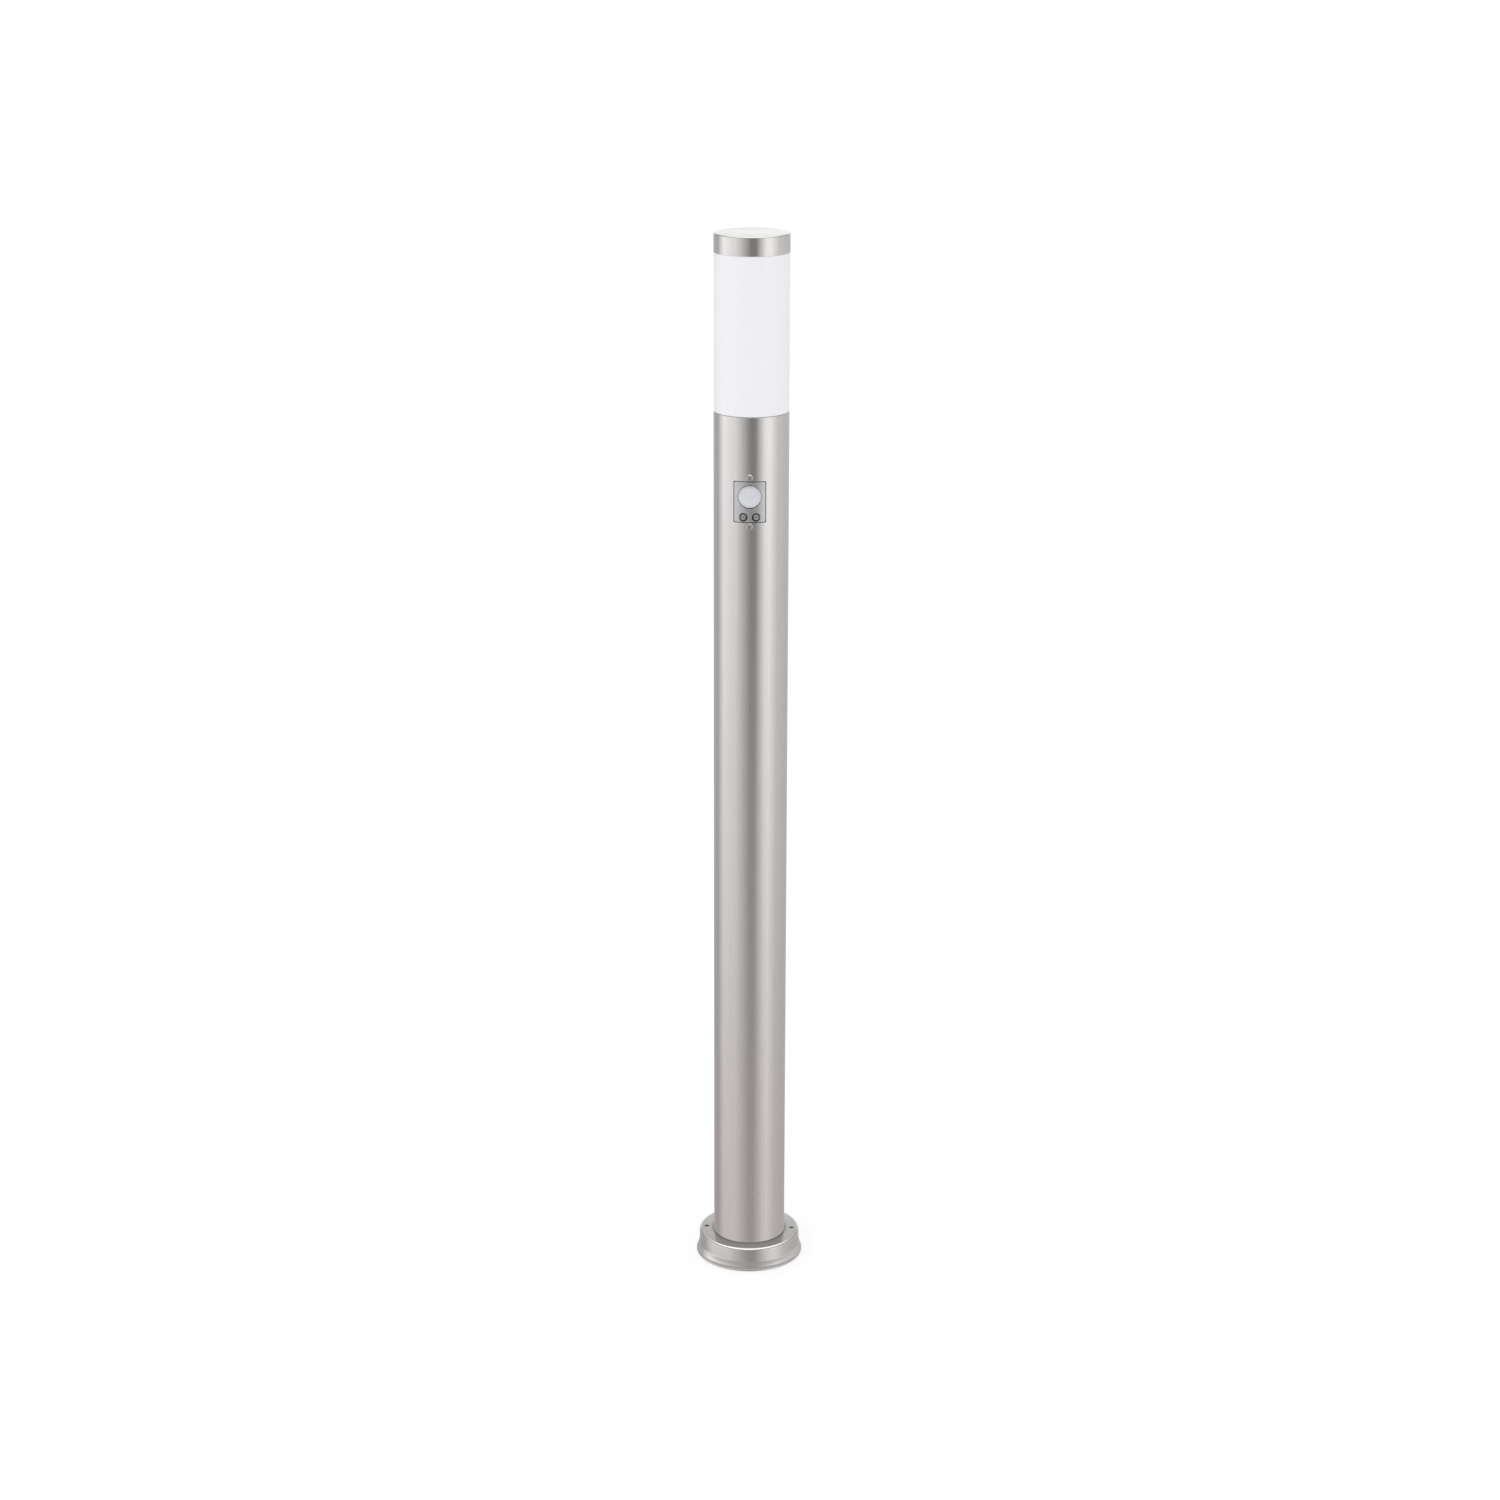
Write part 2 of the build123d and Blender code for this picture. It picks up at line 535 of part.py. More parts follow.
def terminal_block():
    far_y = TERMINAL_NEAR_Y + TERMINAL_DEPTH
    low = FOOT_PLATE_BOTTOM - TERMINAL_HEIGHT
    body = block(-TERMINAL_WIDTH / 2, TERMINAL_WIDTH / 2, TERMINAL_NEAR_Y, far_y, low, FOOT_PLATE_BOTTOM)
    for x in terminal_places():
        body -= rod(SLEEVE_RADIUS, x, TERMINAL_Z, TERMINAL_NEAR_Y - CUT, far_y + CUT)
    for x, y in clamp_places():
        body -= cylinder(CLAMP_SCREW_RADIUS + PART_GAP, low - CUT, TERMINAL_Z, x, y)
    body -= cylinder(FIXING_SCREW_RADIUS, low - CUT, FOOT_PLATE_BOTTOM + CUT,
                     TERMINAL_PITCH / 2, terminal_middle_y())
    return body


def terminal_sleeves():
    far_y = TERMINAL_NEAR_Y + TERMINAL_DEPTH
    sleeves = []
    for x in terminal_places():
        sleeve = rod(SLEEVE_RADIUS, x, TERMINAL_Z, TERMINAL_NEAR_Y, far_y)
        sleeve -= rod(SLEEVE_BORE_RADIUS, x, TERMINAL_Z, TERMINAL_NEAR_Y - CUT, far_y + CUT)
        for place_x, y in clamp_places():
            if place_x == x:
                sleeve -= cylinder(CLAMP_SCREW_RADIUS, TERMINAL_Z - SLEEVE_RADIUS - CUT, TERMINAL_Z, x, y)
        sleeves.append(sleeve)
    return sleeves


def clamp_screws():
    low = FOOT_PLATE_BOTTOM - TERMINAL_HEIGHT + PART_GAP
    tip = TERMINAL_Z - WIRE_DIAMETER / 2 - CLAMP_TIP_GAP
    return [cylinder(CLAMP_SCREW_RADIUS, low, tip, x, y) for x, y in clamp_places()]


def terminal_fixing_screw():
    low = FOOT_PLATE_BOTTOM - TERMINAL_HEIGHT
    x = TERMINAL_PITCH / 2
    y = terminal_middle_y()
    screw = cylinder(FIXING_SCREW_RADIUS, low, COVER_INSIDE_TOP, x, y)
    return screw + cylinder(COVER_SCREW_HEAD_RADIUS, low - COVER_SCREW_HEAD_HEIGHT, low, x, y)


def earth_tag():
    low = FOOT_PLATE_BOTTOM - TAG_THICKNESS
    tail_y = TAG_Y + TAG_RADIUS + TAG_TAIL_LENGTH
    tag = cylinder(TAG_RADIUS, low, FOOT_PLATE_BOTTOM, TAG_X, TAG_Y)
    tag += block(TAG_X - TAG_TAIL_WIDTH / 2, TAG_X + TAG_TAIL_WIDTH / 2, TAG_Y, tail_y,
                 low, FOOT_PLATE_BOTTOM)
    barrel_y = tail_y + TAG_BARREL_OVERHANG
    tag += rod(TAG_BARREL_RADIUS, TAG_X, FOOT_PLATE_BOTTOM - TAG_BARREL_RADIUS,
               barrel_y - TAG_BARREL_LENGTH, barrel_y)
    return tag - cylinder(TAG_SCREW_RADIUS, low - CUT, FOOT_PLATE_BOTTOM + CUT, TAG_X, TAG_Y)


def earth_screw():
    head_top = FOOT_PLATE_BOTTOM - TAG_THICKNESS
    screw = cylinder(TAG_HEAD_RADIUS, head_top - TAG_HEAD_HEIGHT, head_top, TAG_X, TAG_Y)
    return screw + cylinder(TAG_SCREW_RADIUS, head_top, COVER_INSIDE_TOP, TAG_X, TAG_Y)


# ---------------------------------------------------------------- tube and sensor
def sensor_screw_places():
    return (SENSOR_Z - SENSOR_SCREW_REACH, SENSOR_Z + SENSOR_SCREW_REACH)


def pole_tube():
    tube = ring(TUBE_R, TUBE_BORE_R, COVER_HEIGHT, POLE_TOP)
    tube -= front_prism(WINDOW_WIDTH, WINDOW_HEIGHT, WINDOW_CORNER, SENSOR_Z)
    for z in sensor_screw_places():
        tube -= rod(SENSOR_SCREW_HOLE_RADIUS, 0, z, -TUBE_R - CUT, 0)
    return tube


def sensor_panel(outer, inner):
    """Curved rectangular sheet behind the window, following the tube."""
    width = WINDOW_WIDTH + 2 * SENSOR_FLANGE_SIDE
    height = WINDOW_HEIGHT + 2 * SENSOR_FLANGE_END
    shell = ring(outer, inner, SENSOR_Z - height, SENSOR_Z + height)
    return shell & front_prism(width, height, SENSOR_FLANGE_CORNER, SENSOR_Z)


def sensor_gasket():
    sheet = sensor_panel(TUBE_BORE_R, SENSOR_FLANGE_R)
    sheet -= front_prism(WINDOW_WIDTH, WINDOW_HEIGHT, WINDOW_CORNER, SENSOR_Z)
    for z in sensor_screw_places():
        sheet -= rod(SENSOR_SCREW_HOLE_RADIUS, 0, z, -TUBE_R - CUT, 0)
    return sheet


def sensor_face():
    face = sensor_panel(SENSOR_FLANGE_R, SENSOR_BACK_R)
    panel = ring(TUBE_R, SENSOR_BACK_R, SENSOR_Z - WINDOW_HEIGHT, SENSOR_Z + WINDOW_HEIGHT)
    width = WINDOW_WIDTH - 2 * WINDOW_GAP
    height = WINDOW_HEIGHT - 2 * WINDOW_GAP
    panel &= front_prism(width, height, WINDOW_CORNER, SENSOR_Z)
    face += panel
    face -= rod(LENS_RADIUS + PART_GAP, 0, LENS_Z, -TUBE_R - CUT, 0)
    lens_seat_y = LENS_Y + LENS_FLANGE_THICKNESS
    face -= rod(LENS_FLANGE_RADIUS + PART_GAP, 0, LENS_Z, LENS_Y, lens_seat_y + TUBE_R)
    for x in pot_places():
        face -= rod(POT_WELL_RADIUS, x, POT_Z, -TUBE_R - CUT, -TUBE_R + POT_WELL_DEPTH)
        face -= rod(POT_KNOB_RADIUS + TURN_GAP, x, POT_Z, -TUBE_R - CUT, 0)
    for z in sensor_screw_places():
        face -= rod(SENSOR_SCREW_RADIUS, 0, z, -TUBE_R - CUT, 0)
    return face


def sensor_screws():
    screws = []
    for z in sensor_screw_places():
        screw = rod(SENSOR_SCREW_RADIUS, 0, z, -TUBE_R, -TUBE_R + SENSOR_SCREW_LENGTH)
        screw += rod(SCREW_HEAD_RADIUS, 0, z, -TUBE_R - SCREW_HEAD_HEIGHT, -TUBE_R)
        recess_y = -TUBE_R - SCREW_HEAD_HEIGHT
        screw -= rod(SCREW_RECESS_RADIUS, 0, z, recess_y - CUT, recess_y + SCREW_RECESS_DEPTH)
        screws.append(screw)
    return screws


def sensor_lens():
    dome = Pos(0, LENS_Y, LENS_Z) * (Sphere(LENS_RADIUS) - Sphere(LENS_RADIUS - LENS_WALL))
    dome &= block(-TUBE_R, TUBE_R, -2 * TUBE_R, LENS_Y, LENS_Z - TUBE_R, LENS_Z + TUBE_R)
    back_y = LENS_Y + LENS_FLANGE_THICKNESS
    flange = rod(LENS_FLANGE_RADIUS, 0, LENS_Z, LENS_Y, back_y)
    flange -= rod(LENS_RADIUS - LENS_WALL, 0, LENS_Z, LENS_Y - CUT, back_y + CUT)
    return dome + flange


def pot_places():
    return (-POT_SPACING / 2, POT_SPACING / 2)


def pot_knob(x):
    front = -TUBE_R + POT_KNOB_SINK
    back = BOARD_FRONT_Y - POT_BODY_DEPTH - TURN_GAP
    knob = rod(POT_KNOB_RADIUS, x, POT_Z, front, back)
    slot = POT_SLOT_WIDTH / 2
    knob -= block(x - slot, x + slot, front - CUT, front + POT_SLOT_DEPTH,
                  POT_Z - POT_KNOB_RADIUS - CUT, POT_Z + POT_KNOB_RADIUS + CUT)
    return knob


def pot_bodies():
    half = POT_BODY_SIDE / 2
    return [block(x - half, x + half, BOARD_FRONT_Y - POT_BODY_DEPTH, BOARD_FRONT_Y,
                  POT_Z - half, POT_Z + half) for x in pot_places()]


def board_ends():
    return SENSOR_Z - BOARD_HEIGHT / 2, SENSOR_Z + BOARD_HEIGHT / 2


def post_places():
    return [(side * COVER_POST_OFFSET, SENSOR_Z - COVER_POST_DROP) for side in (-1, 1)]


def sensor_board():
    low, high = board_ends()
    board = block(-BOARD_WIDTH / 2, BOARD_WIDTH / 2, BOARD_FRONT_Y, BOARD_BACK_Y, low, high)
    for x, z in post_places():
        board -= rod(COVER_SCREW_RADIUS, x, z, BOARD_FRONT_Y - CUT, BOARD_BACK_Y + CUT)
    return board


def pyro_sensor():
    spacer = rod(PYRO_RADIUS, 0, LENS_Z, BOARD_FRONT_Y - PYRO_SPACER, BOARD_FRONT_Y)
    can_back = BOARD_FRONT_Y - PYRO_SPACER
    return spacer + rod(PYRO_RADIUS - PART_GAP, 0, LENS_Z, can_back - PYRO_LENGTH, can_back)


def relay():
    half = RELAY_WIDTH / 2
    middle = SENSOR_Z + RELAY_RISE
    return block(RELAY_X - half, RELAY_X + half, BOARD_BACK_Y, BOARD_BACK_Y + RELAY_DEPTH,
                 middle - RELAY_HEIGHT / 2, middle + RELAY_HEIGHT / 2)


def film_capacitor():
    half = FILM_WIDTH / 2
    middle = SENSOR_Z - FILM_DROP
    return block(-half, half, BOARD_BACK_Y, BOARD_BACK_Y + FILM_DEPTH,
                 middle - FILM_HEIGHT / 2, middle + FILM_HEIGHT / 2)


def storage_capacitors():
    rises = (CAPACITOR_RISE, CAPACITOR_RISE + CAPACITOR_SPACING)
    back = BOARD_BACK_Y + CAPACITOR_LENGTH
    return [rod(CAPACITOR_RADIUS, CAPACITOR_X, SENSOR_Z + rise, BOARD_BACK_Y, back) for rise in rises]


def wire_terminal(direction):
    """Screw terminal at the upper (+1) or lower (-1) end of the board's back."""
    end = SENSOR_Z + direction * (BOARD_HEIGHT / 2 - WIRE_TERMINAL_INSET)
    inner = end - direction * WIRE_TERMINAL_HEIGHT
    half = WIRE_TERMINAL_WIDTH / 2
    body = block(-half, half, BOARD_BACK_Y, BOARD_BACK_Y + WIRE_TERMINAL_DEPTH,
                 min(end, inner), max(end, inner))
    for side in (-1, 1):
        middle = BOARD_BACK_Y + WIRE_TERMINAL_DEPTH / 2
        body -= cylinder(WIRE_HOLE_RADIUS, min(end, inner) - CUT, max(end, inner) + CUT,
                         side * LAMP_WIRE_SPACING / 2, middle)
    return body


def sensor_rear_cover():
    half_width = COVER_BOX_WIDTH / 2
    half_height = COVER_BOX_HEIGHT / 2
    low = SENSOR_Z - half_height
    high = SENSOR_Z + half_height
    case = block(-half_width, half_width, -TUBE_R, COVER_BACK_Y, low, high)
    case -= block(-half_width + COVER_BOX_WALL, half_width - COVER_BOX_WALL, -TUBE_R - CUT,
                  COVER_BACK_Y - COVER_BOX_WALL, low + COVER_BOX_WALL, high - COVER_BOX_WALL)
    for x, z in post_places():
        case += rod(COVER_POST_RADIUS, x, z, BOARD_BACK_Y, COVER_BACK_Y)
        case -= rod(COVER_SCREW_RADIUS, x, z, BOARD_BACK_Y - CUT, COVER_BACK_Y + CUT)
    entry = COVER_ENTRY_WIDTH / 2
    case -= block(-entry, entry, BOARD_BACK_Y, BOARD_BACK_Y + COVER_ENTRY_DEPTH, low - CUT, high + CUT)
    return case & cylinder(SENSOR_BACK_R, low - CUT, high + CUT)


def rear_cover_screws():
    screws = []
    for x, z in post_places():
        screw = rod(COVER_SCREW_RADIUS, x, z, BOARD_FRONT_Y, COVER_BACK_Y)
        head_back = COVER_BACK_Y + COVER_SCREW_HEAD_HEIGHT
        screws.append(screw + rod(COVER_SCREW_HEAD_RADIUS, x, z, COVER_BACK_Y, head_back))
    return screws


# ---------------------------------------------------------------- lampholder
def lug_starts():
    step = 360.0 / LUG_COUNT
    return [LUG_START_ANGLE + step * index for index in range(LUG_COUNT)]


def strap_screw_places():
    return (-SHELF_MIDDLE_R, SHELF_MIDDLE_R)


def socket_ring():
    body = ring(TUBE_BORE_R, SHELF_BORE_R, SOCKET_BOTTOM, SOCKET_TOP)
    body -= cylinder(SOCKET_BORE_R, SHELF_TOP, SOCKET_TOP + CUT)
    channel_r = LUG_R + TURN_GAP
    low = LUG_BOTTOM - TURN_GAP
    high = LUG_TOP + TURN_GAP
    side_gap = (LUG_ENTRY_ANGLE - LUG_WIDTH_ANGLE) / 2
    for start in lug_starts():
        body -= sector(channel_r, SHELF_BORE_R, low, SOCKET_TOP + CUT, start - side_gap, LUG_ENTRY_ANGLE)
        body -= sector(channel_r, SHELF_BORE_R, low, high, start - side_gap,
                       LUG_ENTRY_ANGLE + LUG_TRAVEL_ANGLE)
    for x in strap_screw_places():
        body -= cylinder(BRACKET_SCREW_RADIUS, SOCKET_BOTTOM - CUT, SOCKET_BOTTOM + BRACKET_SCREW_LENGTH, x)
    return body


def lampholder_bracket():
    half = BRACKET_STRAP_WIDTH / 2
    reach = TUBE_BORE_R - BRACKET_STRAP_MARGIN
    low = LAMP_BASE - BRACKET_STRAP_THICKNESS
    strap = block(-reach, reach, -half, half, low, LAMP_BASE)
    pad = cylinder(LAMP_SHOULDER_RADIUS, low, LAMP_BASE)
    strap += pad
    for x in strap_screw_places():
        strap -= cylinder(BRACKET_SCREW_RADIUS + PART_GAP, low - CUT, LAMP_BASE + CUT, x)
    for side in (-1, 1):
        strap -= cylinder(LAMP_SCREW_RADIUS + PART_GAP, low - CUT, LAMP_BASE + CUT,
                          side * LAMP_SCREW_SPACING / 2)
        strap -= cylinder(LAMP_WIRE_HOLE_RADIUS, low - CUT, LAMP_BASE + CUT,
                          side * LAMP_WIRE_SPACING / 2, LAMP_WIRE_Y)
    return strap


def bracket_screws():
    top = LAMP_BASE - BRACKET_STRAP_THICKNESS
    screws = []
    for x in strap_screw_places():
        screw = cylinder(BRACKET_SCREW_RADIUS, top, LAMP_BASE + BRACKET_SCREW_LENGTH - PART_GAP, x)
        screws.append(screw + cylinder(BRACKET_SCREW_HEAD_RADIUS, top - BRACKET_SCREW_HEAD_HEIGHT, top, x))
    return screws


def lampholder_body():
    body = cylinder(LAMP_BODY_RADIUS, LAMP_BASE, LAMP_MOUTH)
    body += cylinder(LAMP_SHOULDER_RADIUS, LAMP_BASE, LAMP_SHOULDER_TOP)
    body -= cylinder(LAMP_SHELL_RADIUS, LAMP_FLOOR, LAMP_MOUTH + CUT)
    for side in (-1, 1):
        body -= cylinder(LAMP_SCREW_RADIUS, LAMP_BASE - CUT, LAMP_BASE + LAMP_SCREW_LENGTH,
                         side * LAMP_SCREW_SPACING / 2)
        body -= cylinder(LAMP_WIRE_HOLE_RADIUS, LAMP_BASE - CUT, LAMP_BASE + LAMP_WIRE_HOLE_DEPTH,
                         side * LAMP_WIRE_SPACING / 2, LAMP_WIRE_Y)
    return body


def lampholder_screws():
    top = LAMP_BASE - BRACKET_STRAP_THICKNESS
    screws = []
    for side in (-1, 1):
        x = side * LAMP_SCREW_SPACING / 2
        screw = cylinder(LAMP_SCREW_RADIUS, top, LAMP_BASE + LAMP_SCREW_LENGTH - PART_GAP, x)
        screws.append(screw + cylinder(BRACKET_SCREW_HEAD_RADIUS, top - BRACKET_SCREW_HEAD_HEIGHT, top, x))
    return screws


def lampholder_shell():
    low = LAMP_MOUTH - LAMP_SHELL_LENGTH - CUT
    return ring(LAMP_SHELL_RADIUS, LAMP_SHELL_RADIUS - LAMP_SHELL_WALL, low, LAMP_MOUTH - CUT)


def lampholder_contact():
    return cylinder(LAMP_CONTACT_RADIUS, LAMP_FLOOR, CONTACT_TOP)


def cover_disc():
    low = LAMP_SHOULDER_TOP
    outer = COLLAR_BORE_R - COVER_DISC_MARGIN
    return ring(outer, LAMP_BODY_RADIUS + PART_GAP, low, low + COVER_DISC_THICKNESS)


def shade_ring():
    low = LAMP_SHOULDER_TOP + COVER_DISC_THICKNESS
    outer = LAMP_BODY_RADIUS + SHADE_RING_WIDTH
    return ring(outer, LAMP_BODY_RADIUS, low, low + SHADE_RING_HEIGHT)


# ---------------------------------------------------------------- bulb
def bulb_tip():
    return cylinder(BULB_TIP_RADIUS, TIP_BOTTOM, INSULATOR_BOTTOM)


def bulb_insulator():
    profile = Polyline((0, INSULATOR_BOTTOM), (BULB_TIP_RADIUS, INSULATOR_BOTTOM),
                       (BULB_INSULATOR_RADIUS, BULB_CAP_BOTTOM), (0, BULB_CAP_BOTTOM), close=True)
    return revolve(Plane.XZ * make_face(profile), Axis.Z)


def bulb_screw_cap():
    cap = cylinder(BULB_CAP_ROOT_RADIUS, BULB_CAP_BOTTOM, BULB_CAP_TOP)
    section = BULB_CAP_RADIUS - BULB_CAP_ROOT_RADIUS
    for turn in range(BULB_THREAD_TURNS):
        z = BULB_CAP_BOTTOM + BULB_THREAD_PITCH * (turn + 1)
        cap += Pos(0, 0, z) * Torus(BULB_CAP_ROOT_RADIUS, section)
    return cap


def bulb_housing():
    profile = Line((0, BULB_CAP_TOP), (BULB_NECK_RADIUS, BULB_CAP_TOP))
    profile += Spline((BULB_NECK_RADIUS, BULB_CAP_TOP), (BULB_R, HOUSING_TOP),
                      tangents=((0.2, 1), (0.35, 1)))
    profile += Polyline((BULB_R, HOUSING_TOP), (0, HOUSING_TOP), (0, BULB_CAP_TOP))
    return revolve(Plane.XZ * make_face(profile), Axis.Z)


def bulb_globe():
    height = BULB_TOP - HOUSING_TOP
    outer = dome_of_revolution(BULB_R, height)
    inner = dome_of_revolution(BULB_R - BULB_WALL, height - BULB_WALL)
    return Pos(0, 0, HOUSING_TOP) * (outer - inner)


def dome_of_revolution(radius, height):
    """Half of a ball on a short straight skirt, flat side down."""
    skirt = height - radius
    profile = Polyline((0, height), (0, 0), (radius, 0), (radius, skirt))
    profile += RadiusArc((radius, skirt), (0, height), -radius)
    return revolve(Plane.XZ * make_face(profile), Axis.Z)


# ---------------------------------------------------------------- head
def head_o_ring():
    return Pos(0, 0, O_RING_Z) * Torus(O_RING_CENTRE_R, O_RING_SECTION_R)


def head_collar():
    spigot_r = DIFFUSER_BORE_R
    collar = ring(COLLAR_R, COLLAR_BORE_R, COLLAR_BOTTOM, HEAD_BOTTOM)
    collar += ring(spigot_r, COLLAR_BORE_R, HEAD_BOTTOM, HEAD_BOTTOM + COLLAR_SPIGOT_HEIGHT)
    for start in lug_starts():
        collar += sector(LUG_R, COLLAR_BORE_R, LUG_BOTTOM, LUG_TOP, start, LUG_WIDTH_ANGLE)
    groove_half = O_RING_SECTION_R + RUN_GAP
    groove_floor = O_RING_CENTRE_R - O_RING_SECTION_R - RUN_GAP
    collar -= ring(COLLAR_R + CUT, groove_floor, O_RING_Z - groove_half, O_RING_Z + groove_half)
    return collar


def diffuser():
    body = ring(DIFFUSER_R, DIFFUSER_BORE_R, HEAD_BOTTOM, CAP_BOTTOM)
    neck = ring(DIFFUSER_NECK_R, DIFFUSER_NECK_R - DIFFUSER_NECK_WALL, CAP_BOTTOM, NECK_TOP)
    return body + neck


def cap_seal():
    return ring(DIFFUSER_NECK_R, DIFFUSER_NECK_R - DIFFUSER_NECK_WALL, NECK_TOP, TOTAL_HEIGHT - CAP_WALL)


def top_cap():
    cap = cylinder(TUBE_R, CAP_BOTTOM, TOTAL_HEIGHT)
    cap -= cylinder(TUBE_R - CAP_WALL, CAP_BOTTOM - CUT, TOTAL_HEIGHT - CAP_WALL)
    rim = cap.edges().filter_by(GeomType.CIRCLE).sort_by(Axis.Z)[-1]
    return fillet(rim, CAP_EDGE_RADIUS)


# ---------------------------------------------------------------- wiring
def report_wire(node, points):
    """Print the tightest bend of a wire's route."""
    print(node, "tightest bend", round(min(arc_radii(points)), 1), "mm")


def moved(points, y, z):
    """The points of a route, measured from y and z."""
    return tuple((px, py + y, pz + z) for px, py, pz in points)


def from_terminal(points):
    return moved(points, 0, TERMINAL_Z)


def from_sensor(points):
    return moved(points, COVER_BACK_Y, SENSOR_Z)


def from_lampholder(points):
    return moved(points, LAMP_WIRE_Y, LAMP_BASE)


def save_wiring():
    switched_live = from_sensor(SWITCHED_LIVE_SENSOR_END) + from_lampholder(SWITCHED_LIVE_LAMP_END)
    lamp_neutral = from_sensor(LAMP_NEUTRAL_SENSOR_END) + from_lampholder(LAMP_NEUTRAL_LAMP_END)
    routes = {
        "live_wire": (from_terminal(LIVE_FOOT_ROUTE), from_sensor(LIVE_SENSOR_ROUTE)),
        "neutral_wire": (from_terminal(NEUTRAL_FOOT_ROUTE), from_sensor(NEUTRAL_SENSOR_ROUTE)),
        "earth_wire": (from_terminal(EARTH_ROUTE),),
        "switched_live_wire": (switched_live,),
        "lamp_neutral_wire": (lamp_neutral,),
    }
    for node, pieces in routes.items():
        for points in pieces:
            report_wire(node, points)
        save(node, *[wire(points, WIRE_DIAMETER) for points in pieces])
    cable = from_terminal((INNER_CABLE_START,)) + INNER_CABLE_MIDDLE + from_sensor((INNER_CABLE_END,))
    report_wire("inner_cable", cable)
    save("inner_cable", wire(cable, INNER_CABLE_DIAMETER))


# ---------------------------------------------------------------- build
def save_base():
    save("base_cover", base_cover())
    save("base_gasket", base_gasket())
    save("foot_plate", foot_plate())
    save("foot_insert", foot_insert())
    save("foot_washers", *foot_washers())
    save("foot_bolts", *foot_bolts())
    save("ground_bracket", ground_bracket())
    save("bracket_nuts", *bracket_nuts())
    save("cable_grommet", cable_grommet())
    save("terminal_block", terminal_block())
    save("terminal_sleeves", *terminal_sleeves())
    save("terminal_clamp_screws", *clamp_screws())
    save("terminal_fixing_screw", terminal_fixing_screw())
    save("earth_tag", earth_tag())
    save("earth_screw", earth_screw())


def save_sensor():
    save("sensor_gasket", sensor_gasket())
    save("sensor_face", sensor_face())
    save("sensor_screws", *sensor_screws())
    save("sensor_lens", sensor_lens())
    save("sensor_rear_cover", sensor_rear_cover())
    save("rear_cover_screws", *rear_cover_screws())
    save("sensor_circuit_board", sensor_board())
    save("pyro_sensor", pyro_sensor())
    save("relay", relay())
    save("film_capacitor", film_capacitor())
    save("storage_capacitors", *storage_capacitors())
    save("supply_wire_terminal", wire_terminal(-1))
    save("lamp_wire_terminal", wire_terminal(1))
    save("adjuster_bodies", *pot_bodies())
    save("time_adjuster", pot_knob(pot_places()[0]))
    save("light_level_adjuster", pot_knob(pot_places()[1]))


def save_lampholder():
    save("socket_ring", socket_ring())
    save("lampholder_bracket", lampholder_bracket())
    save("bracket_screws", *bracket_screws())
    save("lampholder_body", lampholder_body())
    save("lampholder_screws", *lampholder_screws())
    save("lampholder_shell", lampholder_shell())
    save("lampholder_contact", lampholder_contact())
    save("cover_disc", cover_disc())
    save("shade_ring", shade_ring())


def save_bulb():
    save("bulb_tip", bulb_tip())
    save("bulb_insulator", bulb_insulator())
    save("bulb_screw_cap", bulb_screw_cap())
    save("bulb_housing", bulb_housing())
    save("bulb_globe", bulb_globe())


def save_head():
    save("head_o_ring", head_o_ring())
    save("head_collar", head_collar())
    save("diffuser", diffuser())
    save("cap_seal", cap_seal())
    save("top_cap", top_cap())


save("pole_tube", pole_tube())
save_base()
save_sensor()
save_lampholder()
save_wiring()
save_bulb()
save_head()
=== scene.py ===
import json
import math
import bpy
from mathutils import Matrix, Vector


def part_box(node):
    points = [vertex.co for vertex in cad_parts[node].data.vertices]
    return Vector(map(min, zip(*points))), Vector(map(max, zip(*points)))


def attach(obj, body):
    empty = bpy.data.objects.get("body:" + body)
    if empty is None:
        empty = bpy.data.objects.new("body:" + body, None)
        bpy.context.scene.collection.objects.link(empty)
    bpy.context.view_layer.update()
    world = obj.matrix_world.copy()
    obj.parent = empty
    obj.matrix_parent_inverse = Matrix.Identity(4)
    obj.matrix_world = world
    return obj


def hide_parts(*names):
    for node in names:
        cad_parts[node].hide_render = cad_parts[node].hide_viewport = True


bl_info = {
    "name": "Bollard light",
    "version": (1, 0, 0),
    "blender": (4, 5, 0),
    "location": "View3D > Sidebar > Bollard",
    "description": "Builds a stainless steel bollard light with a motion sensor round its packed frame",
    "category": "Object",
}

import bmesh
import bpy
from bpy.props import FloatProperty, FloatVectorProperty, IntProperty, PointerProperty
from bpy.types import Operator, Panel, PropertyGroup
from mathutils import Matrix, Vector

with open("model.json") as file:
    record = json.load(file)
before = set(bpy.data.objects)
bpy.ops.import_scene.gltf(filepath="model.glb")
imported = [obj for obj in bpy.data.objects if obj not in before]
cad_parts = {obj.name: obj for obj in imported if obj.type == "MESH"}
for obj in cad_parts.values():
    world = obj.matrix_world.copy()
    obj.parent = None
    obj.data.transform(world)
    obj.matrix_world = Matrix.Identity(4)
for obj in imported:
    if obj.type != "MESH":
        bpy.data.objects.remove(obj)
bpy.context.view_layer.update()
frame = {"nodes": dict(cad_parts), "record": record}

MM = 0.001
HAZE = 0.62                 # roughness of the cover where light comes by way of another piece
JOINT_SHADE_WIDTH = 4.5 * MM      # from the tube's side out to where the painted shade in the joint has faded to plain steel
# painted shade: darker steel colour in the joint against the tube, standing in for the tube's shade on the
# cover
PAINTED_JOINT_SHADE = (0.33, 0.31, 0.29)
PAINT_METAL = 0.92          # share of metal in the sensor's silver paint
TUBE_LOW, TUBE_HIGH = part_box("pole_tube")
COVER_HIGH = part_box("base_cover")[1]
CAP_LOW, CAP_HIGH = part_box("top_cap")
DIFFUSER_LOW, DIFFUSER_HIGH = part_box("diffuser")
LENS_LOW, LENS_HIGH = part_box("sensor_lens")
SCREWS_LOW, SCREWS_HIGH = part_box("sensor_screws")
